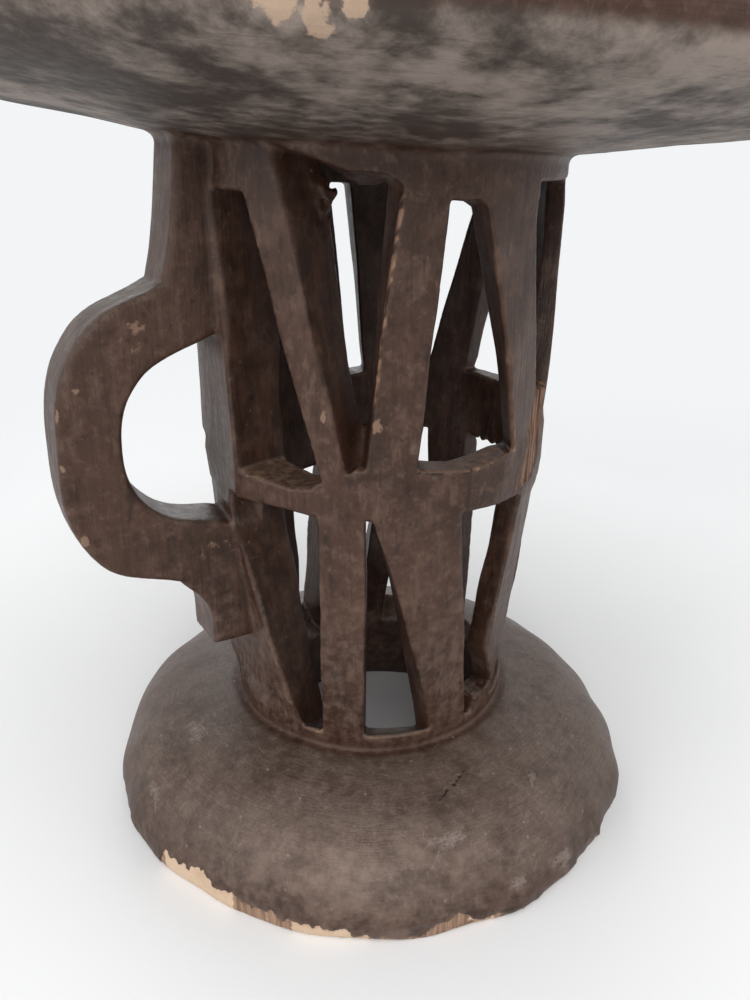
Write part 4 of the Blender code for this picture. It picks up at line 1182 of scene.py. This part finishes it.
def floor_material():
    """A pale floor that takes the stool's shadow and runs out into the white background."""
    g = Graph("pale_floor")
    place = g.add("ShaderNodeTexCoord", output=3)
    tone = g.blend(g.band(g.noise(place, 3.0, 3.0), 0.3, 0.7), (0.87, 0.87, 0.87), (0.90, 0.90, 0.90))
    g.put(g.shader.inputs["Base Color"], tone)
    g.shader.inputs["Roughness"].default_value = 0.6
    away = g.add("ShaderNodeVectorMath", {0: place}, 1, operation="LENGTH")
    glow = g.add("ShaderNodeEmission", {"Color": (*BACKGROUND, 1.0), "Strength": BACKGROUND_STRENGTH})
    share = g.times(g.band(away, 0.32, 1.00), seen_rays(g.tree))
    surface = g.add("ShaderNodeMixShader", {0: share, 1: g.shader.outputs[0], 2: glow})
    g.tree.links.new(surface, g.tree.nodes["Material Output"].inputs["Surface"])
    return g.material


# Stage

def add_floor():
    size = 8.0
    mesh = bpy.data.meshes.new("floor")
    mesh.from_pydata([(-size, -size, 0), (size, -size, 0), (size, size, 0), (-size, size, 0)], [],
                     [(0, 1, 2, 3)])
    mesh.materials.append(floor_material())
    floor = bpy.data.objects.new("floor", mesh)
    bpy.context.scene.collection.objects.link(floor)


# Lamps as (name, bearing, distance, height, size, power), all aimed at one point
AIM = Vector((0.0, 0.0, 0.12))
LAMPS = (("key", 62.0, 1.80, 1.02, 1.35, 21.0), ("overhead", 60.0, 0.55, 1.95, 1.5, 12.0),
         ("left_fill", 5.0, 1.80, 0.69, 1.35, 11.0), ("right_fill", 140.0, 1.80, 0.76, 1.35, 5.6),
         ("back_fill", 250.0, 1.90, 0.95, 1.35, 9.0))


def add_lamp(name, bearing, distance, height, size, power):
    lamp = bpy.data.lights.new(name, "AREA")
    lamp.shape = "DISK"
    lamp.size = size
    lamp.energy = power
    item = bpy.data.objects.new(name, lamp)
    item.location = direction(bearing) * distance + Vector((0.0, 0.0, height))
    item.rotation_euler = (AIM - item.location).to_track_quat("-Z", "Y").to_euler()
    bpy.context.scene.collection.objects.link(item)


def add_light():
    """Soft light from all round, a white background, and five large lamps."""
    world = bpy.data.worlds.new("studio")
    world.use_nodes = True
    tree = world.node_tree
    background = tree.nodes["Background"]
    background.inputs["Color"].default_value = (*BACKGROUND, 1.0)
    strength = tree.nodes.new("ShaderNodeMapRange")
    strength.inputs["To Min"].default_value = WORLD_STRENGTH
    strength.inputs["To Max"].default_value = BACKGROUND_STRENGTH
    tree.links.new(seen_rays(tree), strength.inputs["Value"])
    tree.links.new(strength.outputs[0], background.inputs["Strength"])
    bpy.context.scene.world = world
    for lamp in LAMPS:
        add_lamp(*lamp)


def add_camera():
    """The photograph's view, solved from it: 790 pixels of focal length on its 1000 pixel side."""
    distance, rise = 0.35, 0.7883
    right, away = direction(150.0), direction(240.0)
    yaw, pitch, roll = math.radians(-0.205), math.radians(21.57), math.radians(0.934)
    level = away * math.cos(yaw) - right * math.sin(yaw)
    forward = level * math.cos(pitch) - Vector((0, 0, 1)) * math.sin(pitch)
    across = forward.cross(Vector((0, 0, 1))).normalized()
    up = across.cross(forward)
    turn = Matrix((across, up, -forward)).transposed().to_4x4() @ Matrix.Rotation(roll, 4, "Z")
    place = direction(60.0) * distance + Vector((0, 0, rise * distance))
    camera = bpy.data.cameras.new("camera")
    camera.lens = 28.44
    camera.sensor_width = 36.0
    camera.clip_start = 0.01
    item = bpy.data.objects.new("camera", camera)
    item.matrix_world = Matrix.Translation(place) @ turn
    bpy.context.scene.collection.objects.link(item)
    bpy.context.scene.camera = item


add_camera()
add_floor()
add_light()
bpy.context.scene.view_settings.view_transform = "Standard"
for name, piece in make_pieces(wood_material()).items():
    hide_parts(name)
    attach(piece, "root")
